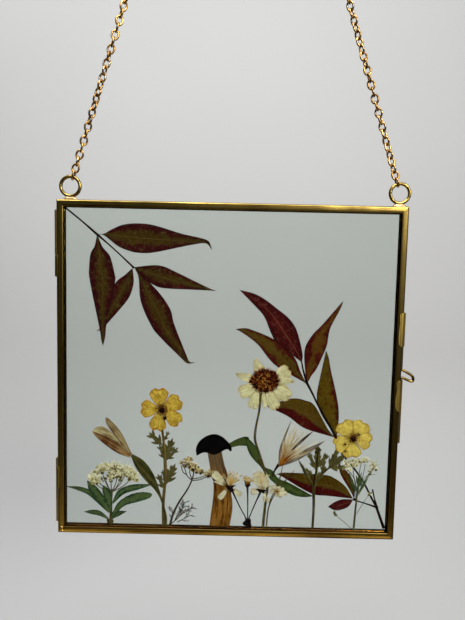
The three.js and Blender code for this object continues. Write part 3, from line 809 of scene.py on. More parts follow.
@dataclass(frozen=True)
class Came:
    """One pane's edging: a brass channel of four mitred rails with softly crowned lips."""

    datum: Datum
    side: str
    body: Body
    y: float
    bottom_finish: Brass = LYING
    width: float = 200.0
    height: float = 196.0
    depth: float = 3.35
    lip: float = 4.0
    sheet: float = 0.45
    corner: float = 1.1
    crown: float = 0.16
    mitre_gap: float = 0.03
    ripple: float = 0.025
    steps: int = 90

    def section(self) -> list[Point]:
        """The channel's outline: inset from the frame's edge, and place through its depth."""
        half = self.depth / 2
        lip_line = []
        for i in range(9):
            u = self.lip - 0.2 - (self.lip - 0.2 - self.corner) * i / 8
            across = (2 * (u - self.corner) / (self.lip - self.corner) - 1) ** 2
            lip_line.append((u, half - self.crown * across * (0.35 + 0.65 * (u > self.lip / 2))))
        drop = lip_line[0][1]
        hem = [(self.lip - 0.06, drop - 0.08), (self.lip, drop - 0.2), (self.lip - 0.04, half - self.sheet)]
        arc = []
        start = half - self.crown * 0.35
        for i in range(1, 8):
            angle = pi / 2 * i / 8
            arc.append((self.corner - self.corner * sin(angle), start - self.corner * (1 - cos(angle))))
        upper = [(self.sheet, half - self.sheet), *reversed(hem), *lip_line, *arc]
        lower = [(u, -v) for u, v in reversed(upper)]
        return [*upper, (0.0, start - self.corner), (0.0, -start + self.corner), *lower]

    def rail(self, edge: str, seed: int, finish: Brass) -> Object:
        """Builds one rail.

        Args:
            edge: top, bottom, left or right.
            seed: Start of its small unevenness.
            finish: Its finish.

        Returns:
            The rail.
        """
        w, h = self.width / 2, self.height / 2
        start, along, inward = {
            "top": ((-w, h), (1, 0), (0, -1)),
            "bottom": ((-w, -h), (1, 0), (0, 1)),
            "left": ((-w, -h), (0, 1), (1, 0)),
            "right": ((w, -h), (0, 1), (-1, 0)),
        }[edge]
        length = self.width if along[0] else self.height
        dice = random.Random(seed)
        waves = [(dice.uniform(0.4, 1.0), dice.uniform(0.04, 0.28),
                  dice.uniform(0, PHASES)) for _ in range(4)]
        sections = []
        for i in range(self.steps + 1):
            share = i / self.steps
            ring = []
            for u, v in self.section():
                inset = u + self.mitre_gap
                s = inset + (length - 2 * inset) * share
                sway = self.ripple * sum(a * sin(k * s + p) for a, k, p in waves)
                sway *= min(1.0, 9 * share * (1 - share))
                deep = self.y + v * (1 + sway / self.depth)
                lift = u + 0.5 * sway * (1 if u > self.lip / 2 else 0)
                x, z = (o + a * s + n * lift for o, a, n in zip(start, along, inward))
                ring.append(self.datum.at(x, z, deep))
            sections.append(ring)
        rail = mesh_object(f"{self.side}_came_{edge}", *lofted(sections), finish, 34.0)
        # Marks the channel's hem and inside walls for the brass's painted shade
        inner = [float(u > self.lip - 0.15 or abs(v) < self.depth / 2 - 0.4) for u, v in self.section()]
        mark(rail, INSIDE_SHADE, inner * (self.steps + 1))
        return rail

    def make(self) -> None:
        """Builds the four rails, with the streaks of each along its own length."""
        # The upright rails take the darker copies of the brass, painted shade
        rails = {"top": LYING, "bottom": self.bottom_finish, "left": STANDING, "right": SHADED}
        for number, (edge, finish) in enumerate(rails.items()):
            rail = self.rail(edge, 17 * number + len(self.side), finish)
            settle(rail, self.body, Slot.FRAME_BRASS, f"{self.side}_rail_{edge}")


@dataclass(frozen=True)
class RolledStrap:
    """A brass strap rolled into a barrel on the parting line, with a tongue on its channel."""

    node: str
    side: int
    face: int
    bottom: float
    top: float
    body: Body
    reach: float = 3.2
    radius: float = 1.1
    bore: float = 0.75
    offset: float = 0.85
    half_width: float = 100.0
    face_y: float = 3.45
    gap: float = 0.08
    sheet: float = 0.34

    def outline(self, reach: float) -> list[Point]:
        """The strap's closed outline: out from the frame's middle, and out from the parting line."""
        centre = self.half_width + self.offset
        roll_from, roll_to = radians(118), radians(118 + 342)
        steps = 26
        outer, inner = [], []
        for i in range(steps + 1):
            angle = roll_from + (roll_to - roll_from) * i / steps
            outer.append((centre + self.radius * cos(angle), self.radius * sin(angle)))
            inner.append((centre + self.bore * cos(angle), self.bore * sin(angle)))
        wall_in = self.half_width + self.gap
        wall_out = wall_in + self.sheet
        face_in, face_out = self.face_y + self.gap, self.face_y + self.gap + self.sheet
        edge = self.half_width
        up_outer = [(wall_out + 0.03, 1.2), (wall_out, face_out - 1.1), (wall_out - 0.2, face_out - 0.55),
                    (edge - 0.35, face_out - 0.12), (edge - 0.85, face_out)]
        up_inner = [(wall_in, 1.25), (wall_in, face_in - 1.0), (wall_in - 0.2, face_in - 0.5),
                    (edge - 0.5, face_in - 0.1), (edge - 0.9, face_in)]
        tip = [(edge - reach + 0.12, face_out - 0.02), (edge - reach, face_out - 0.15),
               (edge - reach + 0.05, face_in)]
        return [*outer, *up_outer, *tip, *reversed(up_inner), *reversed(inner)]

    def make(self, datum: Datum) -> None:
        """Builds the strap, with its tongue drawn in towards both ends, and fastens it."""
        steps = 40
        sections = []
        for i in range(steps + 1):
            share = i / steps
            z = self.bottom + (self.top - self.bottom) * share
            near_end = min(share, 1 - share) * (self.top - self.bottom)
            swell = min(1.0, sqrt(max(near_end, 0.0) / 1.6))
            belly = 0.86 + 0.14 * cos(2.6 * pi * (share - 0.32))
            reach = 0.95 + (self.reach - 0.95) * swell * belly
            sections.append([datum.at(self.side * u, z, self.face * v) for u, v in self.outline(reach)])
        strap = mesh_object(self.node + "_strap", *lofted(sections), PLAIN, 30.0)
        settle(strap, self.body, Slot.FRAME_BRASS, self.node)


@dataclass(frozen=True)
class WireBolt:
    """One bent wire: a rod in its guides, with a narrow U for a handle."""

    radius: float = 0.68
    x: float = 100.85
    reach: float = 7.2
    handle_top: float = 3.8
    handle_bottom: float = -0.7
    bend: float = 1.1
    droop: float = 0.4
    top: float = 36.1
    bottom: float = -19.6

    def line(self) -> list[Point]:
        """The wire's middle line: out from the rod, and up."""
        points = [(0.0, self.top), (0.0, self.handle_top + self.bend)]
        tip_top, tip_bottom = self.handle_top - 0.9, self.handle_bottom - 0.1
        middle = (tip_top + tip_bottom) / 2
        far = self.reach - 2.2

        def turn(start: Point, corner: Point, end: Point, steps: int = 10) -> None:
            """Bends the wire round a corner."""
            for i in range(1, steps + 1):
                t = i / steps
                a, b, c = (1 - t) ** 2, 2 * t * (1 - t), t * t
                points.append(tuple(a * p + b * q + c * r for p, q, r in zip(start, corner, end)))

        turn((0.0, self.handle_top + self.bend), (0.0, self.handle_top), (self.bend, self.handle_top))
        points.append((far, tip_top + 0.3))
        turn((far, tip_top + 0.3), (self.reach, tip_top), (self.reach, middle))
        turn((self.reach, middle), (self.reach, tip_bottom), (far, tip_bottom))
        points.append((self.bend, self.handle_bottom))
        turn((self.bend, self.handle_bottom), (0.1, self.handle_bottom), (0.0, self.handle_bottom - 0.6))
        points.append((0.0, self.bottom))
        return [(u, z - self.droop * max(0.0, u - self.bend)) for u, z in points]

    def make(self, datum: Datum) -> None:
        """Builds the bolt with rounded ends and fastens it."""
        line = self.line()
        dense = []
        for (u0, z0), (u1, z1) in zip(line, line[1:]):
            parts = max(1, round(hypot(u1 - u0, z1 - z0) / 0.6))
            dense += [(u0 + (u1 - u0) * i / parts, z0 + (z1 - z0) * i / parts) for i in range(parts)]
        dense.append(line[-1])
        spine = [datum.at(self.x + u, z) for u, z in dense]
        radii = [self.radius * MM * (1 + 0.22 * min(1.0, u)) for u, _ in dense]
        radii[0] = radii[-1] = 0.72 * self.radius * MM
        bolt = mesh_object("wire_bolt", *lofted(tube_sections(spine, radii, 16)), LYING, 50.0)
        settle(bolt, Body.BOLT, Slot.FRAME_BRASS, "latch_bolt")


@dataclass(frozen=True)
class Metalwork:
    """All the brass of the two panes: channels, hinges, latch, saddles and specks of solder."""

    datum: Datum

    def straps(self) -> tuple[RolledStrap, ...]:
        """The hinge knuckles and the latch tubes."""
        trim = 0.15
        back, front = Body.BACK, Body.FRONT
        return (
            RolledStrap("hinge_top_back_knuckle", -1, 1, 66.5 + trim, 92.4 - trim, back),
            RolledStrap("hinge_top_front_knuckle", -1, -1, 54 + trim, 66.5 - trim, front, 1.3),
            RolledStrap("hinge_bottom_back_knuckle_upper", -1, 1, -57.2 + trim, -53.2 - trim, back),
            RolledStrap("hinge_bottom_front_knuckle", -1, -1, -70.6 + trim, -57.2 - trim, front, 1.3),
            RolledStrap("hinge_bottom_back_knuckle_lower", -1, 1, -92.2 + trim, -70.6 - trim, back),
            RolledStrap("latch_guide_upper", 1, -1, 17.9, 37.6, front),
            RolledStrap("latch_guide_lower", 1, -1, -20.0, -1.9, front),
            RolledStrap("latch_keeper", 1, 1, -39.7 + trim, -20.2 - trim, back),
        )

    def saddle(self, name: str, x: float) -> Object:
        """A small hump that holds an eyelet ring, with a fillet of solder up the wire."""
        length, height, depth, foot = 9.0, 2.1, 2.8, 98.08
        sections = []
        steps = 28
        for i in range(steps + 1):
            share = i / steps * 2 - 1
            fall = abs(share) ** 3.2
            rise = height * (1 - fall) * (1 + 0.16 * exp(-((abs(share) - 0.42) / 0.16) ** 2)) + 0.02
            wide = depth / 2 * (1 - 0.35 * abs(share) ** 4)
            ring = []
            for j in range(15):
                angle = pi * j / 14
                z = foot + rise * sin(angle) ** 0.7
                ring.append(self.datum.at(x + share * length / 2, z, PANE_Y - wide * cos(angle)))
            sections.append(ring)
        return mesh_object(name, *lofted(sections), SOLDER, 60.0)

    def bead(self, name: str, x: float, z: float, radius: float) -> Object:
        """A low bead of solder on the front channel."""
        rings = []
        steps, lip_y = 7, -3.3
        for i in range(steps):
            angle = pi / 2 * i / steps
            around = radius * cos(angle)
            y = lip_y - 0.75 * radius * sin(angle)
            rings.append([self.datum.at(x + around * cos(t), z + 0.8 * around * sin(t), y)
                          for t in (TURN * j / 18 for j in range(18))])
        return mesh_object(name, *lofted(rings), WIRE, 60.0)

    def make(self) -> None:
        """Builds every piece and fastens it to its pane."""
        # The back pane's bottom rail takes the painted amber reflection
        Came(self.datum, "back", Body.BACK, PANE_Y, PAINTED_AMBER_REFLECTION).make()
        Came(self.datum, "front", Body.FRONT, -PANE_Y).make()
        for strap in self.straps():
            strap.make(self.datum)
        WireBolt().make(self.datum)
        for side, x in zip(("left", "right"), EYELETS):
            saddle = self.saddle(f"saddle_{side}", x)
            settle(saddle, Body.BACK, Slot.FRAME_BRASS, f"ring_saddle_{side}")
        for number, (x, z, radius) in enumerate(((-97.6, -94.6, 0.85), (-97.2, -96.6, 0.7))):
            settle(self.bead(f"solder_bead_{number + 1}", x, z, radius), Body.FRONT, Slot.FRAME_BRASS)


# Pressed pieces -------------------------------------------------------------------------------


class Outline(Enum):
    """Half widths along a leaf or petal from its base to its tip, as shares of the widest."""

    LANCE = ((0, 0.14), (0.1, 0.36), (0.25, 0.72), (0.42, 1.0), (0.58, 0.95), (0.74, 0.7),
             (0.88, 0.38), (0.96, 0.16), (1, 0.03))
    OVAL = ((0, 0.1), (0.1, 0.5), (0.28, 0.88), (0.48, 1.0), (0.7, 0.86), (0.88, 0.5), (1, 0.06))
    PETAL = ((0, 0.17), (0.12, 0.32), (0.3, 0.6), (0.5, 0.87), (0.7, 1.0), (0.88, 1.0), (1, 0.93))
    STRAP = ((0, 0.34), (0.2, 0.6), (0.45, 0.88), (0.7, 1.0), (0.9, 0.9), (1, 0.66))
    TAPER = ((0, 0.8), (0.3, 1.0), (0.55, 0.8), (0.8, 0.5), (1, 0.2))
    SPIKE = ((0, 0.5), (0.15, 1.0), (0.4, 0.9), (0.7, 0.5), (1, 0.04))

    def at(self, place: float) -> float:
        """The half width at a place along."""
        return float(np.interp(place, [p for p, _ in self.value], [w for _, w in self.value]))


LAYER_PITCH = 0.13
LAYER_SHEET = 0.11
BACK_LAYER_Y = 0.62


def layer_y(layer: float) -> float:
    """How far from the parting line a layer's middle lies; layer 0 is on the back glass."""
    return BACK_LAYER_Y - layer * LAYER_PITCH


@dataclass(frozen=True)
class Look:
    """How one flat leaf or petal lies and is worn."""

    layer: float = 0.0
    # tint: a tone from 0 to 1; on petals a high tint darkens them as painted shade
    tint: float = 0.5
    crease: float = 0.035
    ragged: float = 0.0
    round_tip: float = 0.0
    notch: float = 0.0
    teeth: int = 0
    tooth: float = 0.0
    finish: int = 0
    along: int = 30
    across: int = 10
    seed: int = 1


class Pressing:
    """One pressed piece under construction: flat leaves, stalks and pads joined in one mesh."""

    def __init__(self, datum: Datum, name: str) -> None:
        """Starts an empty piece."""
        self.datum = datum
        self.name = name
        self.points: list[Vector] = []
        self.faces: list[tuple[int, ...]] = []
        self.maps: list[Point] = []
        self.tints: list[float] = []
        self.finishes: list[int] = []

    def _keep(self, points: Sequence[Place], maps: Sequence[Point],
              faces: Sequence[tuple[int, ...]], tint: float, finish: int) -> None:
        """Adds a closed shell; points are x, y, z in millimetres from the frame's middle."""
        base = len(self.points)
        self.points += [self.datum.at(x, z, y) for x, y, z in points]
        self.maps += list(maps)
        self.tints += [tint] * len(points)
        self.faces += [tuple(base + i for i in face) for face in faces]
        self.finishes += [finish] * len(faces)

    def _sheet(self, left: Sequence[Vector], right: Sequence[Vector], look: Look) -> None:
        """Adds a thin closed sheet between two edges with as many points each."""
        dice = random.Random(look.seed)
        rows, columns = len(left) - 1, look.across
        waves = [(dice.uniform(2, 9), dice.uniform(0, PHASES), dice.uniform(-2.5, 2.5)) for _ in range(3)]
        rough = [(dice.uniform(6, 26), dice.uniform(0, PHASES), dice.uniform(0.3, 1)) for _ in range(4)]

        def fray(angle: float) -> float:
            """How far the edge is worn at an angle."""
            return look.ragged * sum(a * sin(k * angle + p) for k, p, a in rough)

        points, maps = [], []
        for face in (-1, 1):
            for i in range(rows + 1):
                for j in range(columns + 1):
                    share, side = i / rows, 2 * j / columns - 1
                    pull = look.round_tip * abs(side) ** 2.2
                    pull += look.notch * exp(-(side / 0.3) ** 2) + 0.5 * fray(1.4 * side)
                    row = min(max(share * rows * (1 - pull * share ** 2), 0), rows)
                    low = min(int(row), rows - 1)
                    a = left[low].lerp(left[low + 1], row - low)
                    b = right[low].lerp(right[low + 1], row - low)
                    wide = 1 + fray(2 * share + side) * 0.5
                    if look.teeth:
                        wide -= look.tooth * (share * look.teeth % 1.0) * sin(pi * share) ** 0.4
                    place = (a + b) / 2 + (b - a) / 2 * side * wide
                    rib = 0.04 * exp(-(side / 0.12) ** 2) * (1 - share)
                    fold = look.crease * sum(sin(k * share + p + m * side) for k, p, m in waves)
                    depth = layer_y(look.layer) - rib + fold * (0.3 + 0.7 * abs(side))
                    points.append((place.x, depth + face * LAYER_SHEET / 2, place.y))
                    maps.append(((side + 1) / 2, share))
        count = (rows + 1) * (columns + 1)
        faces = []
        for i in range(rows):
            for j in range(columns):
                a = i * (columns + 1) + j
                ring = (a, a + 1, a + columns + 2, a + columns + 1)
                faces += [ring, tuple(count + k for k in reversed(ring))]
        rim = list(range(columns)) + [i * (columns + 1) + columns for i in range(rows)]
        rim += [rows * (columns + 1) + j for j in range(columns, 0, -1)]
        rim += [i * (columns + 1) for i in range(rows, 0, -1)]
        faces += [(b, a, count + a, count + b) for a, b in zip(rim, rim[1:] + rim[:1])]
        self._keep(points, maps, faces, look.tint, look.finish)

    def drawn(self, left: Sequence[Point], right: Sequence[Point], look: Look) -> None:
        """Adds a leaf between two edges, each drawn from its base to its tip.

        Args:
            left: Points along the edge on the left, looking from base to tip.
            right: Points along the other edge.
            look: How it lies and is worn.
        """
        edges = []
        for edge in (left, right):
            fine = curve_through([Vector(p) for p in edge], 120)
            reach = np.cumsum([0.0] + [(b - a).length for a, b in zip(fine, fine[1:])])
            spots = np.interp(np.linspace(0, reach[-1], look.along + 1), reach, np.arange(121))
            lows = [min(int(spot), 119) for spot in spots]
            edges.append([fine[low].lerp(fine[low + 1], spot - low) for low, spot in zip(lows, spots)])
        self._sheet(*edges, look)

    def shaped(self, spine: Sequence[Point], width: float, outline: Outline, look: Look) -> None:
        """Adds a leaf or petal of a plain outline along a middle line.

        Args:
            spine: Points along its middle from base to tip.
            width: Its full width in millimetres.
            outline: Its outline.
            look: How it lies and is worn.
        """
        line = curve_through([Vector(p) for p in spine], look.along)
        left, right = [], []
        for i, here in enumerate(line):
            ahead = (line[min(i + 1, look.along)] - line[max(i - 1, 0)]).normalized()
            half = width / 2 * outline.at(i / look.along) + 0.03
            across = Vector((-ahead.y, ahead.x)) * half
            left.append(here + across)
            right.append(here - across)
        self._sheet(left, right, look)

    def petal(self, centre: Point, angle: float, start: float, end: float, width: float, look: Look,
              outline: Outline = Outline.PETAL, bend: float = 0.0) -> None:
        """Adds a petal that leaves a flower's centre.

        Args:
            centre: The flower's centre.
            angle: Its direction in degrees, anticlockwise from the right.
            start: Where it starts, in millimetres from the centre.
            end: Where it ends.
            width: Its full width.
            look: How it lies and is worn.
            outline: Its outline.
            bend: How far its middle bows to the left of its direction.
        """
        turn = radians(angle)
        ahead = Vector((cos(turn), sin(turn)))
        middle = Vector(centre) + ahead * (start + end) / 2 + Vector((-ahead.y, ahead.x)) * bend
        ends = [Vector(centre) + ahead * reach for reach in (start, end)]
        self.shaped([tuple(ends[0]), tuple(middle), tuple(ends[1])], width, outline, look)

    def cut_leaf(self, base: Point, tip: Point, width: float, look: Look, lobes: int = 3,
                 spread: float = 38.0) -> None:
        """Adds a leaf cut into pointed lobes along both sides.

        Args:
            base: Where it leaves its stalk.
            tip: Its point.
            width: Its full width.
            look: How it lies and is worn.
            lobes: Lobes on each side.
            spread: How far the lobes lean out, in degrees.
        """
        ahead = Vector(tip) - Vector(base)
        line = ahead.normalized()
        across = Vector((-line.y, line.x))
        slim = replace(look, along=16, across=6)
        self.shaped([base, tip], width * 0.4, Outline.OVAL, slim)
        for i in range(lobes):
            foot = Vector(base) + ahead * (0.14 + 0.46 * i / max(1, lobes - 1))
            for side in (-1, 1):
                lean = radians(spread - 6 * i)
                way = line * cos(lean) + across * side * sin(lean)
                end = foot + way * width * (0.86 - 0.12 * i)
                lobe = replace(slim, layer=look.layer - 0.15 * side, seed=look.seed + i,
                               tint=min(1.0, look.tint + 0.1 * side))
                self.shaped([tuple(foot), tuple(end)], width * 0.25, Outline.OVAL, lobe)

    def stalk(self, route: Sequence[Point], widths: Sequence[float], layer: float, tint: float = 0.5,
              finish: int = 0, steps: int = 40, sides: int = 10, flat: float = 0.5) -> None:
        """Adds a pressed stalk.

        Args:
            route: Points that it passes through, from its foot.
            widths: Its width at evenly spaced places.
            layer: The layer that it lies in.
            tint: Its shade, from 0 to 1.
            finish: Which of the piece's materials it takes.
            steps: Sections along it.
            sides: Points around it.
            flat: Its thickness as a share of its width.
        """
        line = curve_through([Vector(p) for p in route], steps)
        rings, maps = [], []
        for i, here in enumerate(line):
            rings.append([])
            radius = float(np.interp(i / steps, np.linspace(0, 1, len(widths)), widths)) / 2
            thick = min(radius * flat, 0.28)
            ahead = (line[min(i + 1, steps)] - line[max(i - 1, 0)]).normalized()
            across = Vector((-ahead.y, ahead.x))
            for j in range(sides):
                angle = TURN * j / sides
                place = here + across * radius * cos(angle)
                rings[-1].append((place.x, layer_y(layer) - thick * sin(angle), place.y))
                maps.append((0.5 + 0.5 * cos(angle), i / steps))
        points, faces = lofted(rings)
        self._keep(points, maps, faces, tint, finish)

    def pad(self, centre: Point, size: Point, layer: float, tint: float = 0.5, finish: int = 0,
            height: float = 0.4, turn: float = 0.0, lumps: float = 0.06, fine: int = 3) -> None:
        """Adds a flattened rounded lump, such as a bud or a heart.

        Args:
            centre: Its middle.
            size: Its half width and half height.
            layer: The layer that it lies in.
            tint: Its shade, from 0 to 1.
            finish: Which of the piece's materials it takes.
            height: Its full thickness.
            turn: Its turn in degrees.
            lumps: How uneven its outline is.
            fine: How finely it is divided.
        """
        dice = random.Random(centre[0])
        waves = [(k, dice.uniform(0, PHASES)) for k in (2, 3, 5)]
        bands, around = 2 * fine + 1, 8 * fine
        cosine, sine = cos(radians(turn)), sin(radians(turn))
        rings, maps = [], []
        for i in range(bands + 1):
            rings.append([])
            polar = pi * (i + 0.12) / (bands + 0.24)
            for j in range(around):
                angle = TURN * j / around
                swell = sin(polar) * (1 + lumps * sum(sin(k * angle + p) for k, p in waves))
                u, v = size[0] * cos(angle) * swell, size[1] * sin(angle) * swell
                x, z = centre[0] + u * cosine - v * sine, centre[1] + u * sine + v * cosine
                rings[-1].append((x, layer_y(layer) - height / 2 * cos(polar), z))
                maps.append((0.5 + 0.5 * cos(angle) * sin(polar), 0.5 + 0.5 * sin(angle)))
        points, faces = lofted(rings)
        self._keep(points, maps, faces, tint, finish)

    def make(self, *finishes: Finish) -> Object:
        """Joins everything in one mesh object with its own map and tints."""
        piece = mesh_object(self.name, self.points, self.faces, finishes[0], 60.0)
        mesh = piece.data
        for finish in finishes[1:]:
            mesh.materials.append(finish.material())
        mesh.polygons.foreach_set("material_index", self.finishes)
        sheet = mesh.uv_layers.new(name=SHEET_MAP)
        corners = np.empty(len(mesh.loops), np.int32)
        mesh.loops.foreach_get("vertex_index", corners)
        sheet.data.foreach_set("uv", np.array(self.maps, np.float32)[corners].ravel())
        mark(piece, TINT_AND_SHADE, self.tints)
        return piece


@dataclass(frozen=True)
class Seat:
    """Where one small repeated thing sits, and how, in millimetres and degrees."""

    x: float
    z: float
    y: float = 0.0
    turn: float = 0.0
    tilt: float = 0.0
    size: float = 1.0
    tint: float = 0.5


def scatter(datum: Datum, name: str, seats: Sequence[Seat], pattern: Pressing, finish: Finish) -> Object:
    """Sets copies of a small pattern on seats and keeps them as one plain mesh.

    Args:
        datum: The frame's middle.
        name: The new piece's name.
        seats: Where the copies go.
        pattern: The thing that repeats, modelled about the frame's middle.
        finish: The copies' finish.

    Returns:
        The copies as one object.
    """
    model = pattern.make(finish)
    model.data.transform(Matrix.Translation(-datum.centre))
    mesh = bpy.data.meshes.new(name + "_seats")
    mesh.from_pydata([tuple(datum.at(s.x, s.z, s.y)) for s in seats], [], [])
    seat = linked(name + "_seats", mesh)
    mark(seat, "turn", [s.turn * pi / 180 for s in seats])
    mark(seat, "tilt", [s.tilt * pi / 180 for s in seats])
    mark(seat, "size", [s.size for s in seats])
    mark(seat, SHADE, [s.tint for s in seats])
    tree = Tree("small_copies")
    scale = tree.size("Size of all", 1.0)
    shape = tree.size("Pattern", model, "Object")

    def named(key: str) -> NodeSocket:
        """A number stored on each seat."""
        return tree.add("GeometryNodeInputNamedAttribute", {"data_type": "FLOAT"}, Name=key)

    euler = tree.add("FunctionNodeEulerToRotation",
                     Euler=tree.add("ShaderNodeCombineXYZ", X=named("tilt"), Y=named("turn")))
    info = tree.add("GeometryNodeObjectInfo", Object=shape)
    spots = tree.add("GeometryNodeMeshToPoints", Mesh=tree.entry.outputs[0])
    placed = tree.add("GeometryNodeInstanceOnPoints", Points=spots, Instance=info.node.outputs["Geometry"],
                      Rotation=euler, Scale=tree.math("MULTIPLY", named("size"), scale))
    piece = tree.apply(name, seat, placed, finish)
    old = model.data
    bpy.data.objects.remove(model)
    bpy.data.meshes.remove(old)
    return smooth(piece, 70.0)


# Finishes of the pressed pieces ---------------------------------------------------------------


@dataclass(frozen=True)
class LeafSkin(Finish):
    """A dried leaf: one tone along its middle, another towards its edges, a dark rim and veins."""

    middle: Colour
    margin: Colour
    rim: Colour
    rib: Colour
    spread: float = 0.5
    lean: float = 0.0
    blotch: float = 0.3
    veins: float = 0.5
    rib_strength: float = 0.6
    rough: float = 0.55

    def paint(self, shade: Shade) -> Material:
        """Builds the finish from the leaf's own across and along."""
        across, along = shade.along()
        side = across * 2.0 - 1.0
        edge = abs(side)
        cloud = shade.noise(150.0, 5.0, 0.65, 0.8)
        blot = shade.noise(430.0, 4.0, 0.6, 0.4)
        fine = shade.noise(1500.0)
        wobble = cloud * (self.blotch * 5) + blot * (self.blotch * 2) - self.blotch * 3.5
        shifted = side * self.lean + edge + wobble + shade.attribute(TINT_AND_SHADE) * 0.7 - 0.35
        colour = shifted.step(self.spread - 0.2, self.spread + 0.24).blend(self.middle, self.margin)
        colour = (blot.step(0.54, 0.66) * 0.5).blend(colour, self.margin)
        colour = (blot.step(0.46, 0.32) * 0.3).blend(colour, self.rib)
        vein = shade.math("SINE", (along - edge * 0.13) * 96.0 + cloud * 7.0)
        colour = (vein.step(0.72, 1.0) * (self.veins * 0.4)).blend(colour, self.rim)
        colour = (fine.step(0.54, 0.68) * 0.45).blend(colour, self.rim)
        colour = (fine.step(0.44, 0.32) * 0.22).blend(colour, self.rib)
        colour = (edge.step(0.9, 0.99) | along.step(0.94, 1.0)).blend(colour, self.rim)
        middle = 1.0 - edge.step(0.015, 0.07)
        fade = middle * along.step(1.0, 0.5) * blot.step(0.3, 0.6)
        colour = (fade * self.rib_strength).blend(colour, self.rib)
        return shade.finish(colour, vein * 0.35 + fine + middle, 0.00007, 0.5, Roughness=self.rough,
                            Specular_IOR_Level=DULL_SHEEN)


@dataclass(frozen=True)
class PetalSkin(Finish):
    """A dried petal: long folds with painted shade, patches, a browned edge, and a base darkened partly by
    painted shade.
    """

    body: Colour
    # vein: tone of the veins, also the painted shade along folds and under overlapping petals
    vein: Colour
    edge: Colour
    # base: tone at the flower's middle, partly its own colour, partly painted shade
    base: Colour
    veins: float = 0.35
    burnt: float = 0.5
    patch: float = 0.5
    base_reach: float = 0.3
    count: float = 24.0

    def paint(self, shade: Shade) -> Material:
        """Builds the finish from the petal's own across and along."""
        across, along = shade.along()
        edge = abs(across * 2.0 - 1.0)
        cloud = shade.noise(300.0, 4.0, 0.65, 0.4)
        fine = shade.noise(1300.0)
        flow = shade.noise((self.count / 2, 2.0, 1.0), 4.0, 0.6, 0.6, sheet=True)
        # Long lines in the vein tone: veins, and painted shade along the folds
        fold_shade_and_veins = flow.step(0.46, 0.66) * self.veins
        colour = (fold_shade_and_veins | cloud.step(0.44, 0.62) * self.patch).blend(self.body, self.vein)
        far = edge.step(0.78, 1.0) | along.step(0.86, 1.0)
        burn = shade.math("MULTIPLY", far, cloud * (self.burnt * 1.9), clamp=True)
        colour = burn.blend(colour, self.edge)
        # Darker towards the base: partly its own colour, partly painted shade near the flower's middle
        near = along + (fine - 0.5) * 0.5
        colour = near.step(self.base_reach, 0.02).blend(colour, self.base)
        # Painted shade: petals with a high tint, such as those lying under others, darken towards the vein
        # tone
        colour = (shade.attribute(TINT_AND_SHADE).step(0.3, 1.0) * 0.7).blend(colour, self.vein)
        return shade.finish(colour, (flow + cloud * 0.5) * 2.4 + fine, 0.00014, 0.8, Roughness=0.62,
                            Specular_IOR_Level=DULL_SHEEN)


@dataclass(frozen=True)
class FibreSkin(Finish):
    """Long streaks between a pale, a middle and a dark tone, for stalks, husks and mushroom flesh."""

    pale: Colour
    mid: Colour
    dark: Colour
    count: float = 18.0
    edge_dark: float = 0.4
    rough: float = 0.6
    drift: Colour | None = None
    bias: float = 0.0
    soft: float = 0.12

    def paint(self, shade: Shade) -> Material:
        """Builds the finish from the piece's own across and along."""
        across, along = shade.along()
        tint = shade.attribute(TINT_AND_SHADE)
        flow = shade.add("CombineXYZ", across * self.count, along * 2.2, tint * 7.0)
        streak = shade.noise(flow, 5.0, 0.62, 0.25)
        blend = streak * 0.75 + shade.noise(240.0) * 0.25 + (tint * -0.2 + (0.1 + self.bias))
        colour = blend.ramp((0.5 - self.soft, self.dark), (0.5, self.mid), (0.5 + self.soft, self.pale))
        if self.drift is not None:
            colour = (along.step(0.5, 0.92) * 0.78).blend(colour, self.drift)
        rim = abs(across * 2.0 - 1.0).step(0.6, 1.0) * self.edge_dark
        return shade.finish(rim.blend(colour, self.dark), streak, 0.0001, 0.6, Roughness=self.rough,
                            Specular_IOR_Level=DULL_SHEEN)


def tone(red: int, green: int, blue: int) -> Colour:
    """A linear colour from display values of 0 to 255."""
    return tuple(((c / 255 + 0.055) / 1.055) ** 2.4 if c > 10 else c / 3295 for c in (red, green, blue))


@dataclass(frozen=True)
class SpeckSkin(Finish):
    """Small crowded parts that differ in tone from one to the next."""

    tones: tuple[Colour, ...]
    tip: float = 0.5
    rough: float = 0.7

    def paint(self, shade: Shade) -> Material:
        """Builds the finish from each copy's own shade."""
        fine = shade.noise(1300.0, 2.0)
        spot = fine * 0.5 + shade.attribute(SHADE) - 0.25 + (shade.along()[1] * self.tip - self.tip / 2)
        last = len(self.tones) - 1
        stops = [(0.1 + 0.8 * i / last, colour) for i, colour in enumerate(self.tones)]
        return shade.finish(spot.ramp(*stops), Roughness=self.rough, Specular_IOR_Level=DULL_SHEEN)


RIM = tone(14, 2, 2)
OLIVE = LeafSkin("leaf_olive_burgundy", tone(69, 52, 6), tone(61, 2, 11), RIM, tone(118, 98, 50), 0.43, 0.0,
                 0.26, rib_strength=0.4)
DEEP_RED = LeafSkin("leaf_deep_red", tone(84, 18, 12), tone(68, 2, 5), RIM, tone(134, 84, 68), 0.3,
                    rib_strength=0.6)
MOTTLED = LeafSkin("leaf_mottled_red", tone(96, 62, 4), tone(82, 8, 5), RIM, tone(108, 78, 36), 0.42,
                   blotch=0.45, rib_strength=0.4)
RED_RIGHT = LeafSkin("leaf_olive_one_red_edge", tone(98, 76, 3), tone(80, 12, 5), RIM, tone(110, 90, 40),
                     0.8, 0.25, rib_strength=0.3)
HALVED = LeafSkin("leaf_half_olive_half_red", tone(92, 70, 4), tone(78, 4, 4), RIM, tone(120, 84, 56), 0.3,
                  -0.8, 0.16, rib_strength=0.4)
WARM_OLIVE = LeafSkin("leaf_warm_olive", tone(90, 68, 6), tone(80, 12, 8), RIM, tone(124, 96, 50), 0.48,
                      rib_strength=0.4)
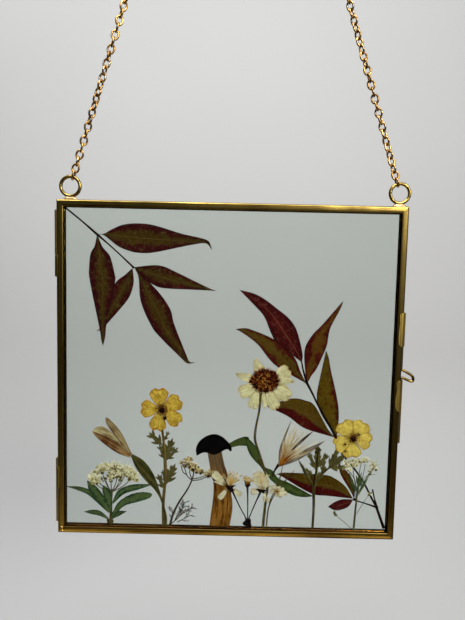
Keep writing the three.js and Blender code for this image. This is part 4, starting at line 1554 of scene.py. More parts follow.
GREEN = LeafSkin("leaf_green_plain", tone(84, 100, 46), tone(54, 76, 30), tone(28, 40, 14),
                 tone(112, 122, 72), 0.5, veins=0.7, rib_strength=0.4)
BLUE_GREEN = LeafSkin("leaf_blue_green", tone(94, 114, 66), tone(46, 76, 46), tone(20, 38, 20),
                      tone(120, 138, 92), 0.48, 0.0, 0.4, rib_strength=0.5)
GREY_GREEN = LeafSkin("leaf_grey_green", tone(108, 100, 52), tone(84, 78, 36), tone(40, 38, 14),
                      tone(130, 118, 72), 0.6, veins=0.7)
STRIPED = FibreSkin("leaf_striped", tone(108, 98, 48), tone(64, 66, 26), tone(30, 34, 12), 7.0, 0.3,
                    soft=0.09)
CREAM = PetalSkin("petal_cream_veined", tone(255, 248, 200), tone(190, 172, 104), tone(184, 150, 80),
                  tone(204, 156, 70), 0.6, 0.8, 0.45)
YELLOW = PetalSkin("petal_yellow_warm", tone(246, 210, 84), tone(170, 120, 24), tone(190, 122, 18),
                   tone(120, 72, 14), 0.6, 1.0, 0.7)
PALE_YELLOW = PetalSkin("petal_yellow_pale", tone(255, 228, 112), tone(192, 146, 38), tone(176, 126, 30),
                        tone(128, 84, 16), 0.6, 0.9, 0.55, 0.4)
BLOSSOM = PetalSkin("petal_blossom", tone(255, 248, 214), tone(190, 164, 108), tone(176, 144, 88),
                    tone(160, 124, 66), 0.45, 0.8, 0.4)
HUSK = FibreSkin("lily_husk", tone(198, 162, 108), tone(150, 100, 54), tone(70, 32, 12), 11.0, 0.8,
                 bias=-0.02, soft=0.06)
PALE_HUSK = FibreSkin("lily_pale_husk", tone(204, 184, 138), tone(168, 140, 90), tone(92, 56, 22), 8.0, 0.9,
                      soft=0.08)
INNER_HUSK = FibreSkin("lily_inner", tone(240, 226, 178), tone(208, 186, 132), tone(104, 68, 26), 6.0, 0.7,
                       soft=0.09)
BRACT = FibreSkin("bract_grey", tone(166, 154, 140), tone(112, 96, 88), tone(44, 26, 26), 5.0, 0.6, soft=0.09)
STRAND = FibreSkin("strand_cream", tone(244, 230, 190), tone(222, 198, 146), tone(168, 124, 66), 8.0, 0.2)
DARK_STALK = FibreSkin("stalk_burgundy", tone(50, 22, 14), tone(22, 6, 5), tone(8, 2, 2), 6.0, 0.4)
INK_STALK = FibreSkin("stalk_ink", tone(60, 46, 26), tone(24, 18, 10), tone(8, 6, 4), 6.0, 0.3)
TWIG = FibreSkin("twig_olive_brown", tone(74, 60, 34), tone(34, 26, 13), tone(12, 9, 5), 6.0, 0.3)
TAN_STALK = FibreSkin("stalk_tan", tone(140, 118, 64), tone(100, 80, 34), tone(60, 44, 16), 5.0, 0.5)
GREEN_STALK = FibreSkin("stalk_olive_tan", tone(116, 104, 58), tone(78, 68, 30), tone(42, 36, 14), 5.0, 0.5)
MUSHROOM = FibreSkin("mushroom_flesh_streaked", tone(176, 122, 50), tone(126, 76, 14), tone(62, 30, 4), 10.0,
                     0.4, drift=tone(106, 88, 66), soft=0.1)
CAP = FibreSkin("mushroom_cap_black", tone(16, 9, 7), tone(4, 2, 2), tone(1, 1, 1), 14.0, 0.1, 0.5)
BED = FibreSkin("bed_brown", tone(70, 26, 8), tone(44, 10, 4), tone(20, 3, 2), 30.0, 0.2)
DARK_BUD = FibreSkin("bud_dark", tone(48, 26, 20), tone(20, 10, 8), tone(6, 3, 3), 8.0, 0.5)
DISC = SpeckSkin("disc_brown", (tone(26, 2, 1), tone(62, 8, 3), tone(104, 32, 5), tone(164, 82, 14),
                                tone(232, 172, 70)), 0.6)
STAMEN = SpeckSkin("stamen_brown", (tone(36, 8, 4), tone(88, 48, 12), tone(180, 124, 40),
                                    tone(226, 186, 104)))
STAMEN_GOLD = SpeckSkin("stamen_gold", (tone(140, 84, 28), tone(228, 176, 84), tone(252, 236, 178)))
HEART = FibreSkin("heart_orange", tone(188, 122, 40), tone(136, 68, 10), tone(76, 30, 3), 9.0, 0.3)
THIN_STALK = FibreSkin("stalk_green_thin", tone(112, 112, 62), tone(74, 78, 40), tone(44, 50, 24), 6.0, 0.3)
FLORET = SpeckSkin("floret_cream", (tone(58, 48, 16), tone(152, 138, 74), tone(238, 228, 176),
                                    tone(255, 252, 226)))
OCHRE_FLORET = SpeckSkin("floret_ochre", (tone(36, 22, 6), tone(104, 78, 32), tone(176, 146, 80),
                                          tone(234, 216, 162)))

MID_LAYER = BACK_LAYER_Y / LAYER_PITCH
ROOM = 0.7 * MM
SUNFLOWER_TURN = 2.39996


def away(place: Point, reach: float, angle: float) -> Point:
    """The place at a distance and an angle, in radians, from another."""
    return (place[0] + reach * cos(angle), place[1] + reach * sin(angle))


# Specimens ------------------------------------------------------------------------------------


@dataclass(frozen=True)
class Specimens:
    """Everything pressed between the glasses, all of it fixed on the back pane."""

    datum: Datum

    def keep(self, piece: Object, slot: Slot, *nodes: str) -> None:
        """Presses a piece flat between the glasses and fastens it."""
        for vertex in piece.data.vertices:
            off = vertex.co.y - self.datum.centre.y
            vertex.co.y = self.datum.centre.y + min(max(off, -ROOM), ROOM)
        settle(piece, Body.BACK, slot, *nodes)

    def one_leaf(self, node: str, left: Sequence[Point], right: Sequence[Point], layer: float,
                 skin: Finish, slot: Slot, tint: float = 0.5) -> None:
        """Builds one leaflet of a compound leaf."""
        piece = Pressing(self.datum, node + "_blade")
        look = Look(layer, tint, 0.03, 0.003, along=64, across=16, seed=len(node) + int(left[0][0]))
        piece.drawn(left, right, look)
        self.keep(piece.make(skin), slot, node)

    def left_spray(self) -> None:
        """The olive compound leaf that hangs from the upper left corner."""
        stem = Pressing(self.datum, "left_spray_stem")
        stem.stalk([(-95.3, 93.4), (-86.2, 86.2), (-77.4, 78.8)], (1.0, 0.9, 1.4), 5, 0.3)
        stem.stalk([(-77.6, 79.0), (-67.4, 70.4), (-56.2, 60.2)], (1.4, 0.9, 0.85, 1.2), 5, 0.3)
        for centre in ((-77.2, 78.8), (-56.6, 60.3)):
            stem.pad(centre, (0.75, 0.65), 5, 0.3)
        self.keep(stem.make(DARK_STALK), Slot.STALK, "nandina_left_stem")
        leaflets = (
            (((-77.2, 79.0), (-73.3, 79.3), (-69.3, 81.7), (-60.8, 85.0), (-47.0, 85.1), (-29.2, 80.3),
              (-18.4, 78.1), (-13.4, 76.3), (-11.4, 71.8)),
             ((-77.2, 78.5), (-73.5, 78.3), (-65.4, 72.3), (-57.7, 69.4), (-50.7, 68.7), (-43.0, 69.5),
              (-23.7, 73.9), (-15.0, 75.0), (-11.7, 71.6)), 4, 0.5),
            (((-77.1, 78.4), (-74.3, 71.7), (-70.0, 66.4), (-67.3, 56.4), (-66.9, 52.6), (-69.2, 40.9),
              (-71.9, 27.5), (-72.6, 20.0), (-73.9, 14.4)),
             ((-77.5, 78.4), (-78.8, 72.3), (-81.2, 67.7), (-82.0, 60.0), (-81.6, 52.2), (-75.9, 24.0),
              (-75.0, 18.0), (-74.0, 14.3)), 4, 0.46),
            (((-57.0, 59.6), (-56.3, 52.8), (-57.1, 47.7), (-59.1, 42.6), (-62.9, 37.5), (-71.6, 27.3),
              (-73.8, 24.2), (-77.7, 22.9)),
             ((-57.3, 59.8), (-61.1, 56.2), (-66.1, 52.2), (-69.6, 45.5), (-74.2, 30.6), (-75.0, 25.4),
              (-77.6, 23.3)), 2, 0.5),
            (((-55.3, 59.6), (-45.1, 50.0), (-38.8, 42.7), (-34.4, 35.4), (-32.4, 27.6), (-24.4, 8.2),
              (-23.0, 5.9), (-20.1, 5.9)),
             ((-55.6, 59.6), (-53.5, 54.4), (-52.0, 40.5), (-45.7, 26.5), (-40.1, 19.6), (-28.4, 8.3),
              (-24.6, 5.1), (-20.3, 5.5)), 3, 0.44),
            (((-56.0, 60.5), (-45.2, 61.9), (-39.0, 61.3), (-32.8, 58.7), (-13.3, 49.7), (-8.9, 48.2)),
             ((-55.9, 60.1), (-50.6, 54.6), (-45.1, 50.7), (-38.9, 48.8), (-23.3, 48.3), (-8.9, 47.9)), 4,
             0.54),
        )
        for i, (left, right, layer, tint) in enumerate(leaflets):
            self.one_leaf(f"nandina_left_leaf_{i + 1}", left, right, layer, OLIVE, Slot.LEAF_OLIVE, tint)

    def right_spray(self) -> None:
        """The redder compound leaf that rises from the lower right corner."""
        stem = Pressing(self.datum, "right_spray_stem")
        stem.stalk([(42.0, 8.6), (43.3, 2.7), (45.6, -4.6)], (0.7, 1.0, 1.4), 6, 0.4)
        stem.stalk([(45.4, -4.2), (48.9, -10.6), (53.4, -19.2), (58.4, -27.4), (64.2, -37.4)],
                   (1.6, 1.1, 1.2, 1.6), 6, 0.4)
        stem.stalk([(64.0, -37.2), (67.6, -46.4), (73.6, -53.4), (80.7, -62.8), (87.1, -74.4), (89.8, -79.4),
                    (94.9, -92.4)], (1.5, 1.1, 1.1, 1.1, 1.4, 1.8), 2, 0.45, steps=60)
        stem.stalk([(76.4, -75.2), (83.0, -77.1), (90.0, -79.4)], (0.9, 0.8, 1.4), 3, 0.4)
        stem.stalk([(87.0, -68.4), (88.3, -73.5), (90.2, -79.4)], (1.0, 0.8, 1.1), 3, 0.4)
        for centre in ((45.6, -4.8), (64.0, -37.4), (90.0, -79.2), (76.4, -74.6)):
            stem.pad(centre, (0.95, 0.8), 5, 0.4)
        self.keep(stem.make(DARK_STALK), Slot.STALK, "nandina_right_stem")
        leaflets = (
            (((42.0, 7.4), (27.6, 18.6), (24.2, 23.4), (19.7, 33.4), (14.8, 39.0), (5.1, 48.6)),
             ((42.4, 7.3), (42.6, 12.4), (39.0, 25.5), (34.3, 32.6), (27.0, 38.4), (20.3, 43.3),
              (13.7, 46.7), (5.1, 48.8)), 3, DEEP_RED, 0.5),
            (((45.2, -5.2), (26.8, 5.3), (16.3, 17.2), (6.6, 24.2), (3.4, 25.5)),
             ((45.2, -4.8), (41.9, 1.4), (39.2, 8.0), (35.5, 12.8), (25.7, 20.4), (11.3, 26.1),
              (5.9, 26.3), (3.4, 25.7)), 2, WARM_OLIVE, 0.46),
            (((46.0, -4.5), (44.6, 1.5), (43.8, 14.8), (48.3, 23.9), (53.4, 29.4), (65.0, 43.6)),
             ((46.5, -4.3), (48.5, -0.2), (51.4, 4.1), (56.3, 16.3), (57.3, 22.3), (58.5, 28.3),
              (63.8, 39.2), (65.1, 43.4)), 3, MOTTLED, 0.5),
            (((64.0, -37.3), (55.4, -24.5), (52.8, -18.4), (51.8, -13.0), (52.6, -5.6), (56.2, 14.3)),
             ((64.5, -37.1), (65.2, -24.0), (63.7, -13.3), (59.5, 3.1), (58.0, 10.3), (56.4, 14.3)), 4,
             RED_RIGHT, 0.5),
            (((63.4, -37.3), (48.4, -33.3), (42.3, -30.4), (34.9, -25.0), (22.9, -19.6)),
             ((63.4, -36.9), (59.3, -32.5), (50.9, -18.6), (45.4, -15.5), (37.0, -14.5), (22.9, -19.2)), 2,
             HALVED, 0.4),
            (((76.2, -74.4), (74.3, -70.4), (68.0, -60.2), (65.7, -52.3)),
             ((76.5, -74.4), (76.2, -66.9), (73.9, -60.9), (65.8, -52.1)),
             1, MOTTLED, 0.3),
            (((75.4, -74.5), (61.0, -73.1), (52.5, -72.4), (44.0, -68.5), (32.0, -61.4), (29.3, -60.7)),
             ((75.4, -74.0), (70.8, -67.0), (63.9, -62.0), (57.1, -60.2), (35.3, -59.4), (29.3, -60.5)), 1,
             HALVED, 0.4),
            (((75.6, -75.3), (73.4, -79.1), (68.9, -81.4), (64.6, -81.7), (61.0, -79.8)),
             ((75.6, -74.9), (69.4, -75.0), (64.9, -76.7), (61.0, -79.6)), 2, DEEP_RED, 0.7),
        )
        for i, (left, right, layer, skin, tint) in enumerate(leaflets):
            self.one_leaf(f"nandina_right_leaf_{i + 1}", left, right, layer, skin, Slot.LEAF_RED, tint)

    def disc(self, name: str, centre: Point, radii: Point, count: int, layer: float, size: float,
             skin: Finish, dark_rim: float = 0.5) -> Object:
        """A crowded disc of tiny pointed florets, packed as a sunflower's seeds are."""
        dice = random.Random(count)
        seats = []
        for i in range(count):
            reach = sqrt((i + 0.5) / count)
            turn = degrees(i * SUNFLOWER_TURN)
            swing = radians(turn)
            shade = 0.42 - dark_rim * (reach - 0.5) + dice.uniform(-0.42, 0.42)
            seats.append(Seat(
                centre[0] + radii[0] * reach * cos(swing),
                centre[1] + radii[1] * reach * sin(swing),
                layer_y(layer) - 0.06 * (1 - reach) + dice.uniform(-0.06, 0.06),
                90 - turn + dice.uniform(-180, 180) * (1.12 - reach), dice.uniform(-6, 6),
                size * dice.uniform(0.7, 1.25), shade,
            ))
        seed = Pressing(self.datum, name + "_floret")
        seed.stalk([(0.0, -0.6), (0.12, 0.0), (0.0, 0.95)], (0.3, 0.42, 0.26, 0.06), MID_LAYER, steps=5,
                   sides=6)
        return scatter(self.datum, name, seats, seed, skin)

    def daisy(self) -> None:
        """The large cream daisy on its bent stalk, with a brown disc and two green leaves."""
        centre = (21.0, -4.1)
        head = Pressing(self.datum, "daisy_petals")
        strap, taper = Outline.STRAP, Outline.TAPER
        # Petals lying further back mostly get higher tints: painted shade under the front ones
        petals = (
            (113, 14.4, 6.8, 5.2, 0.1, 0.6, taper), (27, 16.4, 8.2, 3.8, 0.35, -0.5, strap),
            (-1, 18.0, 5.8, 5.2, 0.1, 0.9, taper), (-17, 15.2, 5.2, 4.4, 0.6, 0.0, taper),
            (-34, 18.6, 8.0, 5.6, 0.1, 0.4, strap), (-50, 15.4, 4.6, 4.0, 0.6, 0.0, taper),
            (-66, 18.8, 6.8, 4.8, 0.15, -0.5, strap), (271, 17.2, 4.8, 4.0, 0.3, 0.3, taper),
            (247, 18.8, 6.4, 5.4, 0.15, -0.5, strap), (228, 14.4, 4.6, 4.0, 0.6, 0.0, taper),
            (208, 17.4, 8.0, 5.6, 0.2, 0.4, strap), (167, 18.0, 5.8, 4.4, 0.25, 0.9, taper),
        )
        for i, (angle, reach, width, layer, tint, bend, outline) in enumerate(petals):
            look = Look(layer, tint, 0.07, 0.045, 0.12, 0.06 + 0.03 * (i % 3), along=34, across=18,
                        seed=40 + i)
            head.petal(centre, angle, 4.0, reach, width, look, outline, bend)
        head.pad(centre, (8.2, 6.8), 5.6, 0.2, 1, 0.3)
        disc = self.disc("daisy_disc", centre, (8.6, 7.2), 330, 6.9, 1.45, DISC, 0.35)
        self.keep(head.make(CREAM, BED), Slot.PETAL_CREAM, "cream_daisy_head")
        self.keep(disc, Slot.BUD_BROWN)
        plant = Pressing(self.datum, "daisy_stalk_and_leaves")
        plant.stalk([(18.9, -11.4), (18.2, -22.0), (16.4, -33.0), (16.3, -40.0), (19.0, -48.0), (21.9, -57.0),
                     (24.2, -68.0), (23.2, -80.0), (22.2, -93.5)], (1.5, 1.2, 1.5, 1.4, 1.6, 1.5, 1.7), 5.8,
                     0.4, steps=80)
        plant.stalk([(18.6, -50.6), (21.3, -56.2), (24.2, -57.4)], (1.2, 2.1, 1.2), 5.8, 0.5)
        bent = Look(5, 0.4, 0.03, 0.004, finish=1, along=44, across=12, seed=5)
        plant.drawn([(22.0, -57.2), (18.8, -47.6), (15.6, -42.3), (11.6, -38.2)],
                    [(21.6, -57.2), (16.8, -52.9), (13.0, -48.0), (11.2, -43.0), (10.6, -39.6)], bent)
        plant.drawn([(12.6, -38.4), (11.2, -37.9), (9.6, -38.0), (5.4, -39.6), (0.2, -42.6)],
                    [(12.0, -43.4), (10.4, -43.5), (6.4, -43.6), (0.4, -45.2)],
                    replace(bent, layer=4, tint=0.2))
        plant.drawn([(22.3, -56.4), (26.9, -58.0), (30.8, -62.8), (38.0, -65.8), (51.3, -73.0)],
                    [(22.5, -56.9), (26.2, -63.9), (37.4, -71.9), (45.0, -73.9), (51.3, -73.4)],
                    replace(bent, layer=5, tint=0.55, seed=7))
        self.keep(plant.make(GREEN_STALK, GREEN), Slot.LEAF_GREEN, "cream_daisy_stem")

    def five_petals(self, name: str, centre: Point, petals: Sequence[tuple[float, float, float]],
                    skin: Finish, node: str, layer: float) -> None:
        """The petals of a five-petalled yellow flower, whose brown eye is made apart."""
        head = Pressing(self.datum, name)
        for i, (angle, reach, width) in enumerate(petals):
            look = Look(layer + 0.8 * (i % 3), 0.12 + 0.12 * (i % 3), 0.04, 0.014, 0.3, 0.13,
                        along=30, across=20, seed=60 + i)
            head.petal(centre, angle, 0.8, reach, width, look, Outline.PETAL, 0.3 * (-1) ** i)
        self.keep(head.make(skin), Slot.PETAL_YELLOW, node)

    def stamens(self, name: str, centre: Point, count: int, reach: float, layer: float,
                skin: Finish, eye: float = 1.4, wire: float = 0.28, shade: float = 0.4,
                first: float = 0.0, sweep: float = 360.0) -> None:
        """A tuft of thin stamens with knobs, round a dark eye."""
        dice = random.Random(count)
        tuft = Pressing(self.datum, name)
        tuft.pad(centre, (eye, eye * 1.1), layer, 0.0)
        for i in range(count):
            angle = first + sweep * i / count + dice.uniform(-14, 14)
            length = reach * dice.uniform(0.6, 1.1)
            swing, bend = radians(angle), radians(angle + dice.uniform(-18, 18))
            end = away(centre, length, bend)
            route = [centre, away(centre, 0.5 * length, swing), end]
            tuft.stalk(route, (wire, 0.7 * wire, 0.7 * wire), layer + 0.5, shade, steps=8, sides=6)
            tuft.pad(end, (1.3 * wire, wire), layer + 0.8, 1.6 * shade - 0.44, turn=angle, fine=2)
        piece = tuft.make(skin)
        mark(piece, SHADE, tuft.tints)
        self.keep(piece, Slot.BUD_BROWN)

    def yellow_flowers(self) -> None:
        """The two yellow flowers and the left one's leafy stalk."""
        left = ((98, 13.4, 11.4), (29, 13.6, 10.6), (-38, 14.8, 9.6), (-101, 14.4, 10.4), (178, 12.9, 10.8))
        self.five_petals("yellow_left_petals", (-39.4, -22.4), left, YELLOW, "yellow_flower_left_head", 4)
        right = ((126, 12.6, 11.8), (58, 12.4, 11.6), (-14, 11.8, 11.2), (-90, 12.8, 11.6), (204, 12.8, 11.4))
        self.five_petals("yellow_right_petals", (74.0, -37.2), right, PALE_YELLOW,
                         "yellow_flower_right_head", 5)
        self.stamens("yellow_left_eye", (-39.0, -23.0), 18, 3.4, 8, STAMEN, 1.7)
        self.stamens("yellow_left_spur", (-37.4, -27.6), 7, 1.6, 8, STAMEN, 1.0)
        self.stamens("yellow_right_eye", (74.1, -37.4), 13, 2.4, 8.4, STAMEN, 1.7)
        for i, centre in enumerate(((77.4, -35.0), (69.6, -41.0), (69.9, -45.2))):
            self.stamens(f"yellow_right_spot_{i + 1}", centre, 5, 0.9, 8.6, STAMEN, 0.42)
        plant = Pressing(self.datum, "yellow_left_stalk_and_leaves")
        plant.stalk([(-38.8, -34.6), (-37.7, -43.7), (-36.7, -57.4), (-36.7, -66.0), (-37.7, -79.1),
                     (-37.5, -93.5)], (1.5, 1.5, 2.1, 1.7, 1.9, 1.6), 3.4, 0.3, steps=60)
        leaf = Look(2.4, 0.4, 0.03, 0.004, finish=1, seed=11)
        cuts = (
            ((-38.6, -44.4), (-46.6, -36.8), 6.6, 2), ((-37.6, -41.6), (-35.0, -35.8), 3.0, 2),
            ((-36.9, -54.0), (-32.6, -39.8), 7.4, 3), ((-36.4, -53.6), (-29.2, -45.4), 4.6, 2),
            ((-37.0, -53.4), (-40.6, -43.4), 4.6, 2), ((-36.6, -68.6), (-30.8, -55.4), 7.2, 3),
            ((-36.6, -67.4), (-38.4, -59.0), 3.4, 2), ((-37.2, -71.6), (-41.2, -61.8), 5.0, 2),
        )
        for i, (base, tip, width, lobes) in enumerate(cuts):
            look = replace(leaf, layer=2.0 + 0.4 * (i % 3), tint=0.3 + 0.1 * (i % 4), seed=20 + i)
            plant.cut_leaf(base, tip, width, look, lobes)
        self.keep(plant.make(TAN_STALK, GREY_GREEN), Slot.LEAF_GREEN, "yellow_flower_left_stem")

    def cut_leaf_plant(self) -> None:
        """The plant with small, deeply cut leaves below the right yellow flower."""
        plant = Pressing(self.datum, "cut_leaf_stalk_and_leaves")
        plant.stalk([(52.0, -93.5), (52.3, -80.0), (52.0, -66.4), (53.2, -58.0), (53.6, -46.4)],
                    (1.4, 1.5, 2.1, 1.5, 1.0), 4, 0.7, steps=60)
        plant.stalk([(52.2, -67.0), (56.0, -60.4), (61.9, -54.6), (66.2, -50.6)], (1.8, 1.3, 1.1, 0.8), 3.8,
                    0.4)
        plant.stalk([(52.0, -67.4), (47.6, -60.6), (43.6, -53.0)], (1.5, 1.2, 0.6), 3.6, 0.5)
        cuts = (
            ((50.4, -64.6), (42.2, -51.4), 4.4, 3), ((53.0, -57.4), (48.0, -46.6), 5.2, 2),
            ((53.4, -54.0), (53.6, -43.4), 5.8, 3), ((53.6, -56.0), (59.4, -47.4), 5.8, 2),
            ((54.0, -63.6), (58.6, -55.0), 5.0, 2), ((51.2, -60.4), (46.6, -56.6), 3.4, 2),
            ((60.2, -56.4), (66.2, -43.0), 6.0, 3), ((61.8, -54.6), (70.2, -47.4), 5.8, 3),
            ((60.4, -55.4), (70.0, -55.6), 5.4, 2), ((56.8, -59.4), (57.6, -51.0), 4.4, 2),
        )
        for i, (base, tip, width, lobes) in enumerate(cuts):
            look = Look(3.0 + 0.6 * (i % 3), 0.3 + 0.12 * (i % 4), 0.03, 0.004, finish=1, seed=70 + i)
            plant.cut_leaf(base, tip, width, look, lobes, 27.0)
        plant.pad((53.5, -45.0), (2.1, 1.9), 6, 0.7, lumps=0.12)
        self.keep(plant.make(GREEN_STALK, GREY_GREEN), Slot.LEAF_GREEN, "cut_leaf_plant")

    def lily(self) -> None:
        """The closed lily bud: brown husks with a paler petal between, on a striped blade."""
        bud = Pressing(self.datum, "lily_husks")
        husk = Look(7, 0.4, 0.04, 0.004, along=44, across=18, seed=3)
        bud.drawn([(-57.6, -52.0), (-64.8, -49.6), (-72.3, -44.6), (-77.3, -40.4), (-80.2, -36.8)],
                  [(-57.0, -50.4), (-61.2, -46.6), (-66.8, -42.2), (-73.6, -38.8), (-80.0, -36.6)], husk)
        bud.drawn([(-57.4, -51.2), (-62.3, -44.6), (-68.2, -37.0), (-71.7, -31.8), (-72.4, -28.2)],
                  [(-56.3, -50.4), (-63.2, -36.8), (-69.9, -29.2), (-72.3, -28.1)],
                  replace(husk, layer=6.4, tint=0.4, finish=2, seed=4))
        bud.drawn([(-57.6, -51.4), (-64.8, -48.0), (-72.6, -42.8), (-79.6, -36.6)],
                  [(-57.3, -50.2), (-61.9, -43.4), (-67.4, -38.2), (-73.2, -33.9), (-77.3, -34.0),
                   (-79.6, -36.0)],
                  replace(husk, layer=5, tint=0.15, finish=1, ragged=0.02, seed=6))
        bud.drawn([(-57.6, -51.2), (-63.8, -45.6), (-70.0, -41.4), (-74.6, -39.0)],
                  [(-57.3, -50.6), (-62.4, -44.4), (-67.6, -39.6), (-73.6, -37.6)],
                  replace(husk, layer=5.8, tint=0.7, finish=1, seed=8))
        self.keep(bud.make(HUSK, INNER_HUSK, PALE_HUSK), Slot.BUD_BROWN, "lily_bud")
        blade = Pressing(self.datum, "lily_blade")
        look = Look(6, 0.4, 0.03, 0.003, along=60, across=16, seed=12)
        blade.drawn([(-56.2, -49.9), (-49.7, -53.6), (-44.6, -60.2), (-41.2, -67.9), (-35.7, -86.0),
                     (-35.2, -93.5)],
                    [(-57.1, -51.2), (-53.8, -58.9), (-47.9, -66.5), (-42.8, -71.6), (-39.2, -78.0),
                     (-37.4, -85.2), (-36.6, -93.5)], look)
        self.keep(blade.make(STRIPED), Slot.LEAF_GREEN, "lily_leaf")

    def floret_pattern(self, name: str, petals: int = 5, size: float = 1.0) -> Pressing:
        """One tiny open flower, with its petals and eye."""
        flower = Pressing(self.datum, name)
        for i in range(petals):
            angle = 360 * i / petals
            look = Look(MID_LAYER, 0.5, 0.02, 0.01, 0.35, 0.1, along=5, across=4, seed=i)
            flower.petal((0.0, 0.0), angle, 0.1 * size, size, 0.85 * size, look, Outline.OVAL)
        flower.pad((0.0, 0.0), (0.28 * size, 0.28 * size), MID_LAYER + 0.7, height=0.2, fine=1)
        return flower

    def cluster(self, name: str, mounds: Sequence[tuple[float, float, float, float, int]], size: float,
                layer: float, skin: Finish, petals: int = 5) -> None:
        """Crowds tiny flowers over mounds.

        Args:
            name: The piece's name.
            mounds: Each mound's middle, half width, half height and number of flowers.
            size: How far a flower's petals reach.
            layer: The layer that they lie in.
            skin: Their finish.
            petals: Petals of each flower.
        """
        dice = random.Random(len(name) + len(mounds))
        seats = []
        for x, z, wide, high, count in mounds:
            for i in range(count):
                reach = sqrt((i + 0.5) / count)
                swing = i * SUNFLOWER_TURN + dice.uniform(-0.25, 0.25)
                # Florets are lighter towards the top of each mound and darker below: painted light from above
                seats.append(Seat(
                    x + wide * reach * cos(swing), z + high * reach * sin(swing),
                    layer_y(layer) + dice.uniform(-0.16, 0.16), dice.uniform(0, 360), dice.uniform(-22, 22),
                    dice.uniform(0.7, 1.2), 0.62 + 0.3 * (reach * sin(swing)) + dice.uniform(-0.3, 0.3),
                ))
        pattern = self.floret_pattern(name + "_pattern", petals, size)
        self.keep(scatter(self.datum, name, seats, pattern, skin), Slot.PETAL_CREAM)

    def umbel(self) -> None:
        """The flat-topped head of cream florets over a tuft of green leaves."""
        head = Pressing(self.datum, "umbel_rays")
        hub = (-68.6, -73.6)
        heads = ((-78.6, -64.6), (-74.2, -62.0), (-69.4, -60.6), (-64.4, -61.0), (-60.0, -61.8),
                 (-56.2, -64.2),
                 (-79.6, -68.0), (-69.0, -66.8), (-72.4, -65.4), (-63.6, -66.2))
        for i, (x, z) in enumerate(heads):
            knee = (hub[0] * 0.45 + x * 0.55, hub[1] * 0.6 + z * 0.4)
            head.stalk([hub, knee, (x, z)], (0.75, 0.5, 0.42), 2.6 + 0.4 * (i % 2), 0.4, steps=16, sides=7)
            head.pad((x, z), (1.1, 0.9), 3, 0.4)
        self.keep(head.make(GREEN_STALK), Slot.PETAL_CREAM, "white_umbel_head")
        mounds = ((-73.6, -58.6, 4.4, 1.9, 30), (-67.6, -57.6, 5.4, 2.4, 46), (-61.4, -59.8, 4.8, 3.2, 44),
                  (-56.4, -63.0, 3.6, 3.2, 32), (-53.6, -65.2, 1.4, 1.8, 7), (-78.8, -65.4, 3.4, 3.2, 32),
                  (-77.6, -61.2, 1.2, 1.8, 6), (-68.8, -62.6, 2.2, 3.4, 20), (-64.4, -62.8, 2.6, 2.2, 12))
        self.cluster("umbel_florets", mounds, 1.15, 5.4, FLORET)
        self.stamens("umbel_shadows", (-74.4, -65.6), 9, 2.2, 4.2, STAMEN, 0.5)
        tuft = Pressing(self.datum, "umbel_stalk_and_leaves")
        tuft.stalk([(-68.6, -73.2), (-68.9, -82.0), (-69.2, -93.5)], (1.2, 1.3, 2.0), 1.4, 0.4)
        leaf = Look(2.6, 0.4, 0.03, 0.004, finish=1, along=44, across=12)
        blades = (
            ([(-70.6, -86.6), (-79.6, -78.3), (-83.8, -75.1), (-90.0, -72.7), (-95.4, -70.9)],
             [(-69.9, -84.4), (-77.6, -74.4), (-82.7, -72.1), (-88.7, -70.6), (-95.4, -70.7)], 2, 0.3),
            ([(-70.4, -86.6), (-78.8, -78.4), (-82.3, -72.4), (-83.3, -67.2)],
             [(-68.8, -84.6), (-73.2, -76.4), (-77.9, -70.2), (-83.0, -66.8)], 3, 0.5),
            ([(-69.6, -84.6), (-72.7, -77.5), (-74.1, -73.0), (-73.6, -69.4)],
             [(-68.4, -84.0), (-68.7, -76.3), (-70.1, -72.0), (-73.4, -69.4)], 4, 0.45),
            ([(-68.2, -80.0), (-64.9, -72.7), (-58.0, -69.1), (-51.3, -68.3), (-44.5, -68.3)],
             [(-67.6, -80.8), (-61.3, -74.8), (-52.9, -71.8), (-44.5, -68.6)], 3, 0.55),
            ([(-68.8, -87.6), (-64.6, -79.7), (-57.9, -74.8), (-51.2, -73.1), (-46.2, -73.4),
              (-44.4, -74.3)],
             [(-68.2, -90.0), (-61.3, -82.4), (-52.9, -79.5), (-46.1, -76.9), (-44.3, -74.5)], 4, 0.3),
            ([(-70.6, -90.6), (-76.4, -88.3), (-80.7, -87.5), (-85.1, -86.3)],
             [(-70.6, -89.4), (-75.6, -85.4), (-80.7, -84.9), (-85.1, -86.1)], 3, 0.5),
            ([(-68.6, -89.2), (-64.6, -85.4), (-59.4, -85.2)],
             [(-68.4, -90.4), (-63.8, -88.1), (-59.4, -85.3)], 3, 0.6),
        )
        for i, (left, right, layer, tint) in enumerate(blades):
            saw = dict(teeth=9, tooth=0.13) if i == 4 else {}
            tuft.drawn(left, right, replace(leaf, layer=layer, tint=tint, seed=30 + i, **saw))
        tuft.pad((-69.4, -91.6), (2.1, 2.0), 4.4, 0.5)
        self.keep(tuft.make(GREEN_STALK, BLUE_GREEN), Slot.LEAF_GREEN, "white_umbel_stem")

